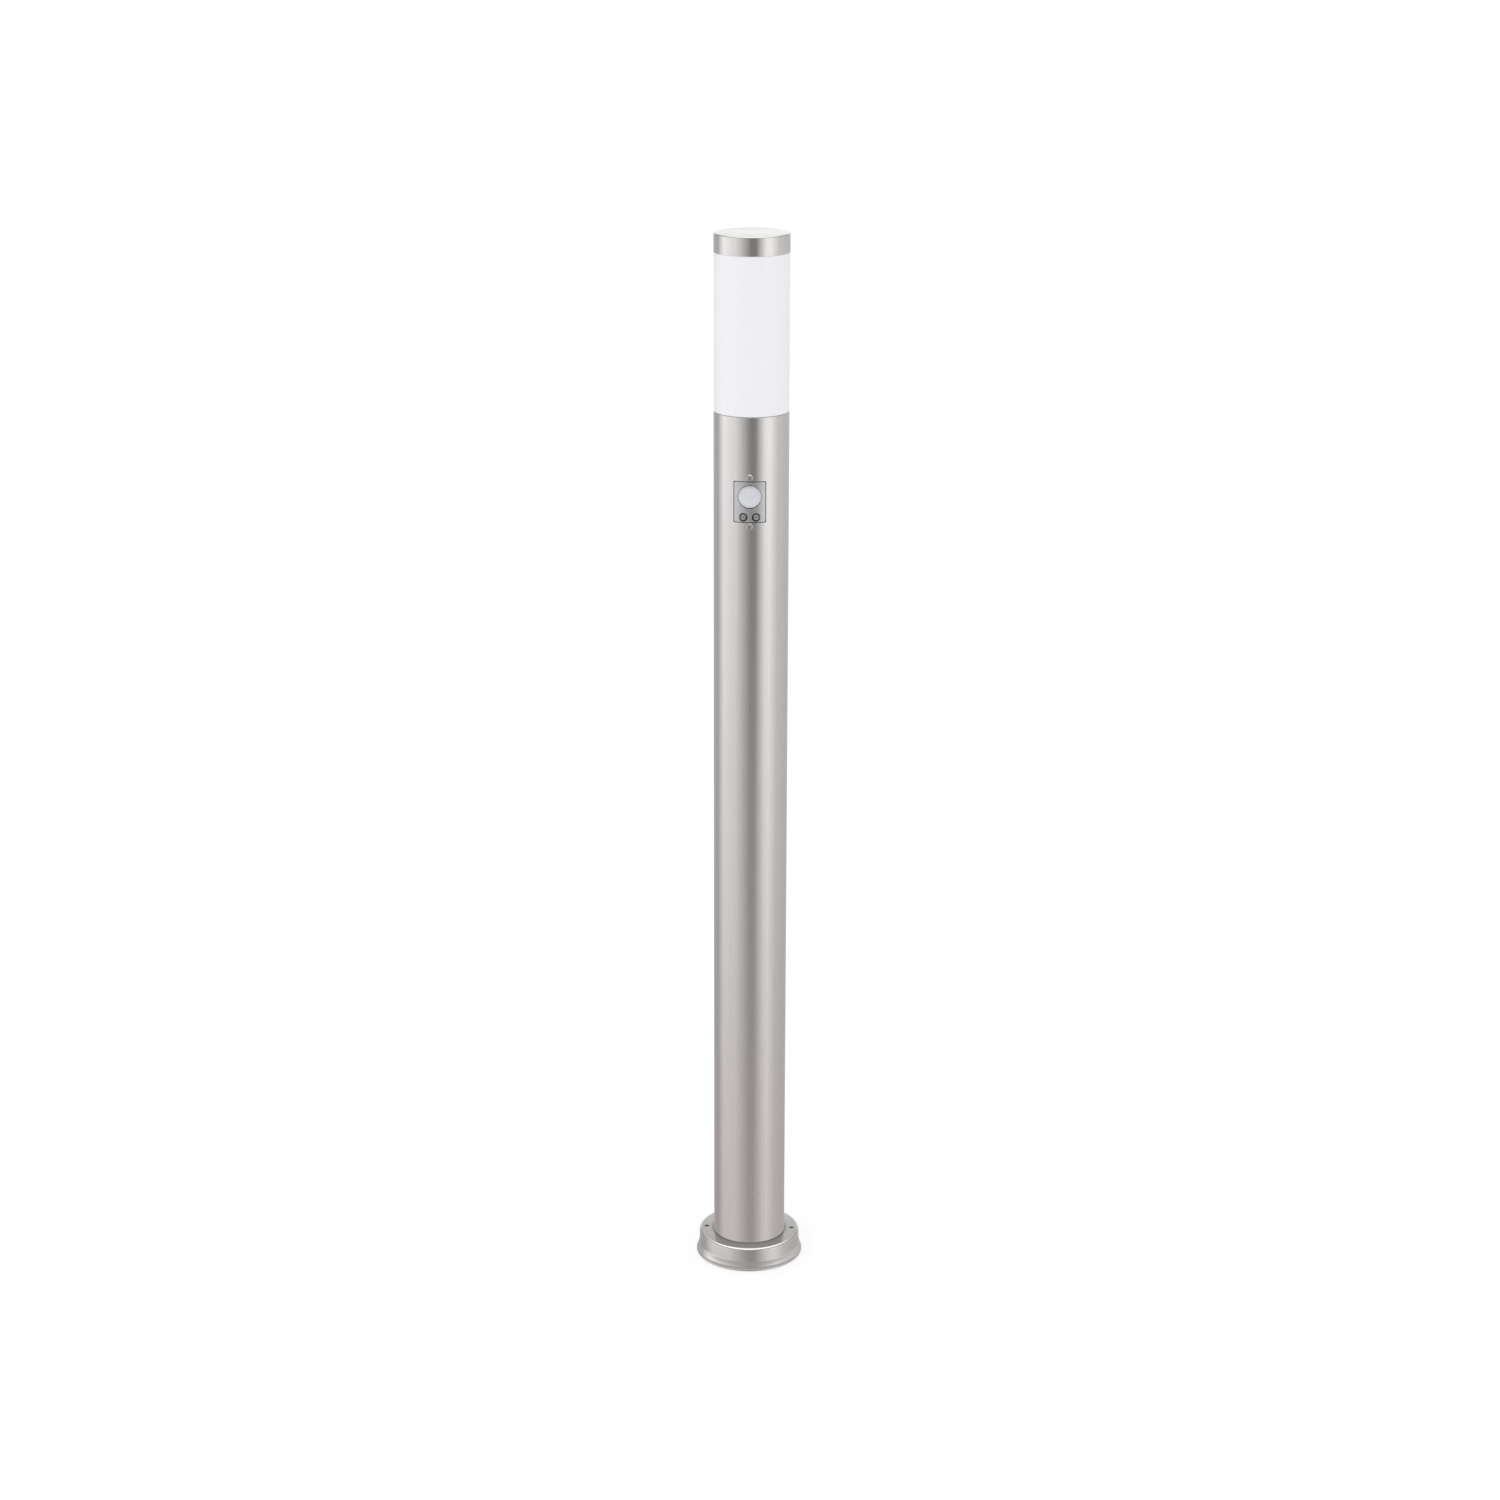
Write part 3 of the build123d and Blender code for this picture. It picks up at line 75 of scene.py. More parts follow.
TIME_LOW, TIME_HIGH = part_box("time_adjuster")
LIGHT_LOW, LIGHT_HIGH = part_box("light_level_adjuster")
GLOBE_LOW, GLOBE_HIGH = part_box("bulb_globe")
HOUSING_LOW, HOUSING_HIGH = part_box("bulb_housing")


def middle(low, high):
    return (low + high) / 2


def length(name, description, default):
    return FloatProperty(name=name, description=description, default=default, min=0, unit="LENGTH")


def share(name, description, default):
    return FloatProperty(name=name, description=description, default=default, min=0, max=1, subtype="FACTOR")


def colour(name, description, default):
    return FloatVectorProperty(name=name, description=description, default=default, size=3, min=0, max=1,
                               subtype="COLOR")


# ---------------------------------------------------------------- sizes and colours
class PostSizes(PropertyGroup):
    tube_wall: length("Tube wall", "Thickness of the post's steel", 1.2 * MM)
    tube_edge: length("Tube edge", "Rounding of the tube's cut ends", 0.2 * MM)
    window_width: length("Window width", "Opening for the sensor", 32.5 * MM)
    window_height: length("Window height", "Opening for the sensor", 42 * MM)
    window_corner: length("Window corner", "Radius of the opening's corners", 1.2 * MM)
    screw_hole: length("Screw hole", "Radius of the sensor's screw holes", 1.7 * MM)
    screw_head_radius: length("Screw head", "Radius of the sensor's screw heads", 3.7 * MM)
    cover_wall: length("Cover wall", "Thickness of the drawn base cover", 1.2 * MM)
    cover_edge: length("Cover edge", "Radius of the cover's upper edge", 2.5 * MM)
    cover_side: length("Cover side", "Radius of the cover's upright side", 53.5 * MM)
    cover_taper: length("Cover taper", "How far the side leans out", 0.3 * MM)
    kink_height: length("Flare height", "Where the flare starts above the ground", 10 * MM)
    flare_width: length("Flare width", "How far the flare runs out", 2.4 * MM)
    flare_bulge: length("Flare bulge", "How far the flare bulges out", 0.2 * MM)
    lip_radius: length("Lip radius", "Half the thickness of the rolled lip", 1.25 * MM)
    fixing_hole: length("Fixing hole", "Radius of the two flange holes", 2.5 * MM)
    fixing_spread: length("Fixing spread", "From the middle out to each flange hole", 46 * MM)
    bolt_hole: length("Bolt hole", "Radius of the three hidden bolt holes", 2.75 * MM)
    bolt_circle: length("Bolt circle", "From the middle out to the hidden bolts", 24 * MM)
    cable_way: length("Cable way", "Radius of the hole for the wiring", 15 * MM)
    segments: IntProperty(name="Segments", description="Facets round the large turned pieces", default=192,
                          min=24, max=512)


class HeadSizes(PropertyGroup):
    cap_wall: length("Cap wall", "Thickness of the cap's steel", 0.8 * MM)
    cap_edge: length("Cap edge", "Radius of the cap's upper edge", 1.2 * MM)
    rim_edge: length("Rim edge", "Rounding of the cap's lower rim", 0.2 * MM)
    diffuser_wall: length("Diffuser wall", "Thickness of the opal tube", 2.5 * MM)
    neck_wall: length("Neck wall", "Thickness of the tube inside the cap", 1.8 * MM)
    neck_radius: length("Neck radius", "Outer radius of the tube inside the cap", 37.075 * MM)
    diffuser_edge: length("Diffuser edge", "Rounding of the tube's lower edge", 0.5 * MM)
    bulb_wall: length("Lamp wall", "Thickness of the lamp's globe and housing", 1.2 * MM)
    bulb_neck: length("Lamp neck", "Radius of the housing above the screw cap", 13 * MM)
    bulb_joint: length("Lamp joint", "Width and depth of the groove between globe and housing", 0.6 * MM)


class SensorSizes(PropertyGroup):
    lens_wall: length("Lens wall", "Thickness of the lens dome", 1.0 * MM)
    lens_flange: length("Lens flange", "Thickness of the lens's seat", 1.0 * MM)
    lens_radius: length("Lens radius", "Outer radius of the dome", 11.7 * MM)
    screw_head: length("Screw head", "Radius of the sensor's screw heads", 3.7 * MM)
    head_height: length("Head height", "Height of the screw heads", 1.8 * MM)
    recess: length("Recess", "Across corners of the screws' hexagon socket, halved", 1.6 * MM)
    recess_depth: length("Recess depth", "Depth of the screws' sockets", 1.1 * MM)
    shank: length("Shank", "Radius of the screws' threads", 1.5 * MM)
    slot_width: length("Slot width", "Width of the adjusters' slots", 0.9 * MM)
    slot_depth: length("Slot depth", "Depth of the adjusters' slots", 1.0 * MM)
    knob_edge: length("Knob edge", "Chamfer of the adjusters' front edge", 0.3 * MM)


class FinishColours(PropertyGroup):
    steel: colour("Steel", "Brushed stainless steel", (0.606, 0.598, 0.588))
    opal: colour("Opal", "Opal diffuser", (0.868, 0.866, 0.893))
    sensor: colour("Sensor", "Silver paint of the sensor's face", (0.56, 0.56, 0.57))
    lens: colour("Lens", "White lens", (0.655, 0.66, 0.695))
    steel_roughness: share("Steel roughness", "Roughness of the brushed steel", 0.12)


class StudioSizes(PropertyGroup):
    distance: length("Camera distance", "Level distance from the post's axis to the camera", 2.9074)
    height: length("Camera height", "Above the ground", 1.4701)
    sideways: FloatProperty(name="Camera shift", description="Sideways of the line to the axis",
                            default=-0.00054, unit="LENGTH")
    round_angle: FloatProperty(name="Camera angle", description="Round the post from straight in front",
                               default=math.radians(2.4), subtype="ANGLE")
    pitch: FloatProperty(name="Camera pitch", description="Down from level", default=math.radians(17.232),
                         subtype="ANGLE")
    roll: FloatProperty(name="Camera roll", description="Tilt about the line of sight",
                        default=math.radians(0.162), subtype="ANGLE")
    lens: FloatProperty(name="Focal length", description="On a 36 mm sensor, in millimetres", default=70.64)
    floor_side: length("Floor side", "Side of the studio floor", 120)
    soft_light: FloatProperty(name="Soft light", description="Brightness of the even light", default=0.9)
    key_power: FloatProperty(name="Key power", description="Power of the large soft lamp", default=4,
                             unit="POWER")


# ---------------------------------------------------------------- shaping
def profile(points, closed=True):
    """Mesh of a profile in the XZ plane from (radius, height, rounding, steps) corners."""
    bm = bmesh.new()
    verts = [bm.verts.new((p[0], 0, p[1])) for p in points]
    for a, b in zip(verts, verts[1:]):
        bm.edges.new((a, b))
    if closed:
        bm.edges.new((verts[-1], verts[0]))
    for vert, point in zip(verts, points):
        if len(point) > 2:
            bmesh.ops.bevel(bm, geom=[vert], offset=point[2], offset_type="OFFSET", segments=point[3],
                            profile=0.5, affect="VERTICES", material=-1)
    return bm


def turn(bm, steps, centre=(0, 0, 0), axis=(0, 0, 1)):
    """Spin the profile a whole turn, and close its seam and poles."""
    geom = list(bm.verts) + list(bm.edges)
    bmesh.ops.spin(bm, geom=geom, cent=centre, axis=axis, angle=math.tau, steps=steps, use_merge=True)
    close(bm)


def close(bm):
    bmesh.ops.remove_doubles(bm, verts=bm.verts, dist=1e-6)
    bmesh.ops.recalc_face_normals(bm, faces=bm.faces)


def face_front(bm, centre):
    """Lay a piece turned about +Z on its back, so that its top looks to the front, and place it."""
    bmesh.ops.transform(bm, matrix=Matrix.Translation(centre) @ Matrix.Rotation(math.pi / 2, 4, "X"),
                        verts=bm.verts)


def add_piece(bm, name, smooth_angle=40):
    mesh = bpy.data.meshes.new(name)
    bm.to_mesh(mesh)
    bm.free()
    mesh.shade_smooth()
    mesh.set_sharp_from_angle(angle=math.radians(smooth_angle))
    obj = bpy.data.objects.new(name, mesh)
    bpy.context.scene.collection.objects.link(obj)
    return obj


def cut(obj, bm, smooth_angle=40):
    """Take the shape in bm out of the piece, and keep the result as its mesh."""
    close(bm)
    tool = add_piece(bm, obj.name + "_tool")
    modifier = obj.modifiers.new("Cut", "BOOLEAN")
    modifier.operation = "DIFFERENCE"
    modifier.solver = "EXACT"
    modifier.object = tool
    graph = bpy.context.evaluated_depsgraph_get()
    mesh = bpy.data.meshes.new_from_object(obj.evaluated_get(graph))
    obj.modifiers.clear()
    old = obj.data
    obj.data = mesh
    mesh.name = obj.name
    bpy.data.meshes.remove(old)
    spare = tool.data
    bpy.data.objects.remove(tool)
    bpy.data.meshes.remove(spare)
    mesh.shade_smooth()
    mesh.set_sharp_from_angle(angle=math.radians(smooth_angle))


def add_drill(bm, radius, low, high, place, segments=32):
    made = bmesh.ops.create_cone(bm, cap_ends=True, segments=segments, radius1=radius, radius2=radius,
                                 depth=high - low)
    bmesh.ops.translate(bm, verts=made["verts"], vec=(place[0], place[1], (low + high) / 2))
    return made["verts"]


def add_front_drill(bm, radius, place, depth, segments=32):
    """A drill that runs along Y, from place into the piece."""
    made = bmesh.ops.create_cone(bm, cap_ends=True, segments=segments, radius1=radius, radius2=radius,
                                 depth=depth)
    bmesh.ops.rotate(bm, verts=made["verts"], matrix=Matrix.Rotation(math.pi / 2, 3, "X"))
    bmesh.ops.translate(bm, verts=made["verts"], vec=(place[0], place[1] + depth / 2, place[2]))


def add_block(bm, size, centre):
    made = bmesh.ops.create_cube(bm, size=1)
    bmesh.ops.scale(bm, verts=made["verts"], vec=size)
    bmesh.ops.translate(bm, verts=made["verts"], vec=centre)
    return made["verts"]


# ---------------------------------------------------------------- shader node groups
def socket(tree, name, kind, in_out="INPUT", default=None):
    made = tree.interface.new_socket(name=name, in_out=in_out, socket_type=kind)
    if default is not None:
        made.default_value = default


def node(tree, kind, inputs=None, **settings):
    made = tree.nodes.new(kind)
    for key, value in settings.items():
        setattr(made, key, value)
    for key, value in (inputs or {}).items():
        if isinstance(value, bpy.types.NodeSocket):
            tree.links.new(value, made.inputs[key])
        else:
            made.inputs[key].default_value = value
    return made


def maths(tree, operation, *values, clamp=False):
    made = tree.nodes.new("ShaderNodeMath")
    made.operation = operation
    made.use_clamp = clamp
    for i, value in enumerate(values):
        if isinstance(value, bpy.types.NodeSocket):
            tree.links.new(value, made.inputs[i])
        else:
            made.inputs[i].default_value = value
    return made.outputs[0]


def between(tree, value, from_low, from_high, to_low=0.0, to_high=1.0, smooth=False):
    return node(tree, "ShaderNodeMapRange", {
        "Value": value, "From Min": from_low, "From Max": from_high, "To Min": to_low, "To Max": to_high,
    }, interpolation_type="SMOOTHSTEP" if smooth else "LINEAR").outputs[0]


def new_group(name, numbers):
    """A group that reads a place and some numbers, and puts out a mask from 0 to 1 and a height."""
    tree = bpy.data.node_groups.new(name, "ShaderNodeTree")
    socket(tree, "Vector", "NodeSocketVector")
    for key, default in numbers.items():
        socket(tree, key, "NodeSocketFloat", default=default)
    socket(tree, "Mask", "NodeSocketFloat", "OUTPUT")
    socket(tree, "Height", "NodeSocketFloat", "OUTPUT")
    return tree, tree.nodes.new("NodeGroupInput").outputs, tree.nodes.new("NodeGroupOutput").inputs


def build_lengthwise_grain():
    """Fine brushed lines along Z, with a few longer and broader ones."""
    tree, given, out = new_group("Lengthwise grain", {"Lines per metre": 2600.0, "Line length": 0.05})
    stretch = node(tree, "ShaderNodeCombineXYZ", {"X": 1.0, "Y": 1.0, "Z": given["Line length"]})
    place = node(tree, "ShaderNodeVectorMath", {0: given["Vector"], 1: stretch.outputs[0]},
                 operation="MULTIPLY").outputs[0]
    fine = node(tree, "ShaderNodeTexNoise", {"Vector": place, "Scale": given["Lines per metre"],
                                             "Detail": 3.0})
    broad_scale = maths(tree, "MULTIPLY", given["Lines per metre"], 0.22)
    broad = node(tree, "ShaderNodeTexNoise", {"Vector": place, "Scale": broad_scale, "Detail": 2.0})
    mixed = maths(tree, "ADD", maths(tree, "MULTIPLY", fine.outputs[0], 0.6),
                  maths(tree, "MULTIPLY", broad.outputs[0], 0.4))
    tree.links.new(between(tree, mixed, 0.3, 0.7), out["Mask"])
    tree.links.new(fine.outputs[0], out["Height"])
    return tree


def build_turned_grain():
    """Fine rings about the Z axis, as a lathe or a spinning tool leaves."""
    tree, given, out = new_group("Turned grain", {"Rings per metre": 1800.0})
    parts = node(tree, "ShaderNodeSeparateXYZ", {"Vector": given["Vector"]}).outputs
    radius = maths(tree, "SQRT", maths(tree, "ADD", maths(tree, "MULTIPLY", parts[0], parts[0]),
                                       maths(tree, "MULTIPLY", parts[1], parts[1])))
    place = node(tree, "ShaderNodeCombineXYZ", {"X": radius, "Z": parts[2]}).outputs[0]
    rings = node(tree, "ShaderNodeTexNoise", {"Vector": place, "Scale": given["Rings per metre"],
                                              "Detail": 3.0})
    blur = node(tree, "ShaderNodeTexNoise", {"Vector": given["Vector"], "Scale": 90.0, "Detail": 2.0})
    mixed = maths(tree, "ADD", maths(tree, "MULTIPLY", rings.outputs[0], 0.7),
                  maths(tree, "MULTIPLY", blur.outputs[0], 0.3))
    tree.links.new(between(tree, mixed, 0.3, 0.7), out["Mask"])
    tree.links.new(rings.outputs[0], out["Height"])
    return tree


def build_moulded_skin():
    """The faint pebbling and flow marks of a moulded or painted skin."""
    tree, given, out = new_group("Moulded skin", {"Pebbles per metre": 1400.0, "Flow": 0.35})
    cells = node(tree, "ShaderNodeTexVoronoi", {"Vector": given["Vector"],
                                                "Scale": given["Pebbles per metre"]}, feature="SMOOTH_F1")
    flow = node(tree, "ShaderNodeTexNoise", {"Vector": given["Vector"], "Scale": 60.0, "Detail": 3.0,
                                             "Distortion": 0.6})
    rest = maths(tree, "SUBTRACT", 1.0, given["Flow"])
    mixed = maths(tree, "ADD", maths(tree, "MULTIPLY", cells.outputs[0], rest),
                  maths(tree, "MULTIPLY", flow.outputs[0], given["Flow"]))
    tree.links.new(between(tree, mixed, 0.15, 0.75), out["Mask"])
    tree.links.new(cells.outputs[0], out["Height"])
    return tree


def build_speckle():
    """Flakes of metal in a paint: hard small grains over a soft ground."""
    tree, given, out = new_group("Metal flake", {"Flakes per metre": 2600.0})
    flakes = node(tree, "ShaderNodeTexNoise", {"Vector": given["Vector"], "Scale": given["Flakes per metre"],
                                               "Detail": 1.0, "Roughness": 0.8})
    tree.links.new(between(tree, flakes.outputs[0], 0.32, 0.68), out["Mask"])
    tree.links.new(flakes.outputs[0], out["Height"])
    return tree


def build_cast_skin():
    """The coarse skin of a casting or of a zinc coat, with soft spangles."""
    tree, given, out = new_group("Cast skin", {"Grains per metre": 900.0})
    spangle = node(tree, "ShaderNodeTexVoronoi", {"Vector": given["Vector"], "Randomness": 1.0,
                                                  "Scale": given["Grains per metre"]})
    tone = node(tree, "ShaderNodeSeparateColor", {"Color": spangle.outputs["Color"]}).outputs[0]
    pits = node(tree, "ShaderNodeTexNoise", {"Vector": given["Vector"], "Scale": given["Grains per metre"],
                                             "Detail": 4.0})
    mixed = maths(tree, "ADD", maths(tree, "MULTIPLY", tone, 0.5),
                  maths(tree, "MULTIPLY", pits.outputs[0], 0.5))
    tree.links.new(mixed, out["Mask"])
    tree.links.new(pits.outputs[0], out["Height"])
    return tree


def build_dust():
    """Broad, uneven traces of handling and dust."""
    tree, given, out = new_group("Handling marks", {"Patch size": 0.05, "Amount": 1.0})
    scale = maths(tree, "DIVIDE", 1.0, given["Patch size"])
    cloud = node(tree, "ShaderNodeTexNoise", {"Vector": given["Vector"], "Scale": scale, "Detail": 5.0,
                                              "Roughness": 0.6})
    mask = maths(tree, "MULTIPLY", between(tree, cloud.outputs[0], 0.45, 0.75, smooth=True), given["Amount"])
    tree.links.new(mask, out["Mask"])
    tree.links.new(cloud.outputs[0], out["Height"])
    return tree


def build_edge_polish():
    """Where a raised edge has been rubbed bright."""
    tree, given, out = new_group("Edge polish", {"Amount": 1.0})
    bend = node(tree, "ShaderNodeNewGeometry").outputs["Pointiness"]
    spots = node(tree, "ShaderNodeTexNoise", {"Vector": given["Vector"], "Scale": 400.0, "Detail": 3.0})
    raised = between(tree, bend, 0.52, 0.6)
    mask = maths(tree, "MULTIPLY", maths(tree, "MULTIPLY", raised, given["Amount"]),
                 between(tree, spots.outputs[0], 0.3, 0.6))
    tree.links.new(mask, out["Mask"])
    tree.links.new(spots.outputs[0], out["Height"])
    return tree


GROUPS = {
    "lengthwise": (build_lengthwise_grain, "Lengthwise grain"),
    "turned": (build_turned_grain, "Turned grain"),
    "moulded": (build_moulded_skin, "Moulded skin"),
    "speckle": (build_speckle, "Metal flake"),
    "cast": (build_cast_skin, "Cast skin"),
    "dust": (build_dust, "Handling marks"),
    "edge": (build_edge_polish, "Edge polish"),
}


def grain(tree, kind, vector, **numbers):
    """Place a node group in a material, built the first time that it is asked for."""
    build, name = GROUPS[kind]
    group = bpy.data.node_groups.get(name) or build()
    placed = tree.nodes.new("ShaderNodeGroup")
    placed.node_tree = group
    tree.links.new(vector, placed.inputs["Vector"])
    for key, value in numbers.items():
        placed.inputs[key.replace("_", " ")].default_value = value
    return placed.outputs


def mix_colour(tree, factor, a, b):
    made = node(tree, "ShaderNodeMix", {"Factor": factor}, data_type="RGBA")
    for key, value in ((6, a), (7, b)):
        if isinstance(value, bpy.types.NodeSocket):
            tree.links.new(value, made.inputs[key])
        else:
            made.inputs[key].default_value = (*value, 1.0)
    return made.outputs[2]


def tinted(base, factor):
    return tuple(min(1.0, max(0.0, c * factor)) for c in base)


def finish(name, base, roughness, kind, numbers, metallic=0.0, swing=0.04, vary=0.05, bump=0.1,
           depth=0.05 * MM, marks=0.3, edge=0.0, **plain):
    """A procedural finish: grain in its colour, roughness and normal, handling marks, and rubbed edges."""
    material = bpy.data.materials.get(name)
    if material:
        return material
    material = bpy.data.materials.new(name)
    material.use_nodes = True
    tree = material.node_tree
    shader = tree.nodes["Principled BSDF"]
    place = tree.nodes.new("ShaderNodeTexCoord").outputs["Object"]
    surface = grain(tree, kind, place, **numbers)
    worn = grain(tree, "dust", place, Amount=marks)
    shade = mix_colour(tree, surface["Mask"], tinted(base, 1 - vary), tinted(base, 1 + vary))
    shade = mix_colour(tree, worn["Mask"], shade, tinted(base, 0.93))
    rough = between(tree, surface["Mask"], 0.0, 1.0, roughness - swing, roughness + swing)
    rough = maths(tree, "ADD", rough, maths(tree, "MULTIPLY", worn["Mask"], swing), clamp=True)
    if edge:
        rubbed = grain(tree, "edge", place, Amount=edge)
        shade = mix_colour(tree, rubbed["Mask"], shade, tinted(base, 1.12))
        rough = maths(tree, "SUBTRACT", rough, maths(tree, "MULTIPLY", rubbed["Mask"], swing), clamp=True)
    relief = node(tree, "ShaderNodeBump", {"Height": surface["Height"], "Strength": bump, "Distance": depth})
    tree.links.new(shade, shader.inputs["Base Color"])
    tree.links.new(rough, shader.inputs["Roughness"])
    tree.links.new(relief.outputs[0], shader.inputs["Normal"])
    shader.inputs["Metallic"].default_value = metallic
    for key, value in plain.items():
        shader.inputs[key.replace("_", " ")].default_value = value
    return material


# name: colour, roughness, grain, its numbers, and the rest
FINE = {"Pebbles_per_metre": 2200.0}
SOFT = {"Pebbles_per_metre": 900.0, "Flow": 0.6}
PLAIN_FINISHES = {
    "zinc_plated_steel": ((0.30, 0.30, 0.295), 0.46, "cast", {"Grains_per_metre": 260.0},
                          {"metallic": 1.0, "swing": 0.08, "vary": 0.07, "bump": 0.15}),
    "screw_steel": ((0.50, 0.48, 0.455), 0.38, "lengthwise", {"Line_length": 0.6},
                    {"metallic": 1.0, "vary": 0.05, "edge": 0.6}),
    "cast_aluminium": ((0.60, 0.61, 0.62), 0.42, "cast", {"Grains_per_metre": 1400.0},
                       {"metallic": 1.0, "swing": 0.1, "vary": 0.08, "bump": 0.5}),
    "white_plastic": ((0.80, 0.80, 0.78), 0.42, "moulded", FINE, {"bump": 0.15}),
    "ceramic_white": ((0.82, 0.81, 0.77), 0.16, "moulded", SOFT, {"bump": 0.12, "Coat_Weight": 0.5}),
    "black_plastic": ((0.025, 0.025, 0.027), 0.40, "moulded", FINE, {"vary": 0.2, "bump": 0.2}),
    "dark_grey_plastic": ((0.29, 0.29, 0.295), 0.45, "moulded", FINE, {"vary": 0.15, "bump": 0.2}),
    "blue_plastic": ((0.02, 0.09, 0.34), 0.25, "moulded", SOFT, {"vary": 0.1}),
    "yellow_plastic": ((0.55, 0.33, 0.03), 0.30, "moulded", SOFT, {"vary": 0.1}),
    "green_plastic": ((0.02, 0.20, 0.06), 0.35, "moulded", FINE, {"vary": 0.1}),
    "circuit_board": ((0.010, 0.085, 0.035), 0.32, "lengthwise",
                      {"Lines_per_metre": 900.0, "Line_length": 1.0}, {"vary": 0.25, "bump": 0.3}),
    "brass": ((0.62, 0.43, 0.17), 0.28, "turned", {}, {"metallic": 1.0, "vary": 0.08, "marks": 0.6}),
    "nickel": ((0.66, 0.63, 0.57), 0.20, "turned", {}, {"metallic": 1.0, "vary": 0.05}),
    "black_rubber": ((0.022, 0.022, 0.022), 0.70, "moulded", SOFT, {"vary": 0.3, "bump": 0.4, "marks": 0.8}),
    "grey_rubber": ((0.10, 0.10, 0.10), 0.70, "moulded", SOFT, {"vary": 0.2, "bump": 0.4, "marks": 0.8}),
    "silicone": ((0.55, 0.56, 0.56), 0.45, "moulded", SOFT, {"bump": 0.3}),
    "brown_insulation": ((0.11, 0.035, 0.012), 0.42, "moulded", FINE, {"vary": 0.15}),
    "blue_insulation": ((0.012, 0.05, 0.30), 0.42, "moulded", FINE, {"vary": 0.15}),
    "cable_sheath": ((0.02, 0.02, 0.021), 0.55, "moulded", SOFT, {"vary": 0.25, "bump": 0.3}),
}


def slot_finish(slot):
    colours = bpy.context.scene.bollard_colours
    if slot == "brushed_stainless":
        return finish("Brushed stainless steel", colours.steel, colours.steel_roughness, "lengthwise", {},
                      metallic=1.0, swing=0.03, vary=0.055, bump=0.05, marks=0.25, edge=0.5)
    if slot == "opal_plastic":
        return finish("Opal diffuser", colours.opal, 0.36, "moulded", SOFT, swing=0.05, vary=0.008, bump=0.05,
                      marks=0.15, Subsurface_Weight=0.05, Subsurface_Scale=4 * MM)
    if slot == "bulb_opal":
        return finish("Lamp globe", (0.90, 0.90, 0.87), 0.40, "moulded", FINE, swing=0.04, vary=0.01,
                      bump=0.05)
    if slot == "sensor_grey":
        return silver_paint()
    if slot == "lens_white":
        return finish("White lens", colours.lens, 0.34, "moulded", {"Pebbles_per_metre": 420.0, "Flow": 0.15},
                      swing=0.05, vary=0.03, bump=0.25, depth=0.2 * MM, Subsurface_Weight=0.1,
                      Subsurface_Scale=2 * MM)
    if slot == "earth_insulation":
        return striped_insulation()
    base, roughness, kind, numbers, rest = PLAIN_FINISHES[slot]
    return finish(slot.replace("_", " ").capitalize(), base, roughness, kind, numbers, **rest)


def from_axis(tree):
    """How far a point lies from the Z axis."""
    place = tree.nodes.new("ShaderNodeTexCoord").outputs["Object"]
    flat = node(tree, "ShaderNodeVectorMath", {0: place, 1: (1, 1, 0)}, operation="MULTIPLY").outputs[0]
    return node(tree, "ShaderNodeVectorMath", {0: flat}, operation="LENGTH").outputs["Value"]


def turned_steel(name="Spun stainless steel"):
    """Stainless steel with rings about the axis, as on the spun cover and cap."""
    colours = bpy.context.scene.bollard_colours
    return finish(name, colours.steel, colours.steel_roughness + 0.06, "turned", {}, metallic=1.0,
                  swing=0.045, vary=0.06, bump=0.08, marks=0.3, edge=0.5)


def cover_steel():
    """Spun steel, hazy where another piece reflects it, with painted shade darkening its colour in the joint
    against the tube.
    """
    name = "Spun steel of the cover"
    if bpy.data.materials.get(name):
        return bpy.data.materials[name]
    material = turned_steel(name)
    tree = material.node_tree
    shader = tree.nodes["Principled BSDF"]
    direct = shader.inputs["Roughness"].links[0].from_socket
    path = tree.nodes.new("ShaderNodeLightPath").outputs["Is Camera Ray"]
    hazy = node(tree, "ShaderNodeMix", {0: path, 2: HAZE, 3: direct}, data_type="FLOAT").outputs[0]
    tree.links.new(hazy, shader.inputs["Roughness"])
    # painted shade: the colour darkens towards the tube's foot, standing in for the tube's shade on the cover
    radius = from_axis(tree)
    past_joint_shade = between(tree, radius, TUBE_HIGH.x, TUBE_HIGH.x + JOINT_SHADE_WIDTH, smooth=True)
    steel = shader.inputs["Base Color"].links[0].from_socket
    tree.links.new(mix_colour(tree, past_joint_shade, PAINTED_JOINT_SHADE, steel), shader.inputs["Base Color"])
    return material


def painted_hole_shade():
    """Painted shade: near-black colour on the walls of holes and cut edges, standing in for the shade inside
    them.
    """
    return finish("Drilled edge", (0.015, 0.014, 0.013), 0.7, "cast", {}, metallic=0.3, swing=0.1, vary=0.2)


def silver_paint():
    """Silver paint on the sensor's face, with painted shade: near black and without metal where the face
    steps back behind the tube's wall, so the gap round the face reads dark.
    """
    name = "Silver paint"
    if bpy.data.materials.get(name):
        return bpy.data.materials[name]
    colours = bpy.context.scene.bollard_colours
    material = finish(name, colours.sensor, 0.27, "speckle", {}, metallic=PAINT_METAL, swing=0.08, vary=0.22,
                      bump=0.3, depth=0.06 * MM, marks=0.4)
    tree = material.node_tree
    shader = tree.nodes["Principled BSDF"]
    radius = from_axis(tree)
    # painted shade: near-black colour, and no metal, behind the tube's wall in the gap round the face
    face_outside_gap_shade = between(tree, radius, TUBE_HIGH.x - 1.0 * MM, TUBE_HIGH.x - 0.6 * MM)
    silver = shader.inputs["Base Color"].links[0].from_socket
    tree.links.new(mix_colour(tree, face_outside_gap_shade, (0.03, 0.03, 0.032), silver), shader.inputs["Base Color"])
    tree.links.new(maths(tree, "MULTIPLY", face_outside_gap_shade, PAINT_METAL), shader.inputs["Metallic"])
    return material


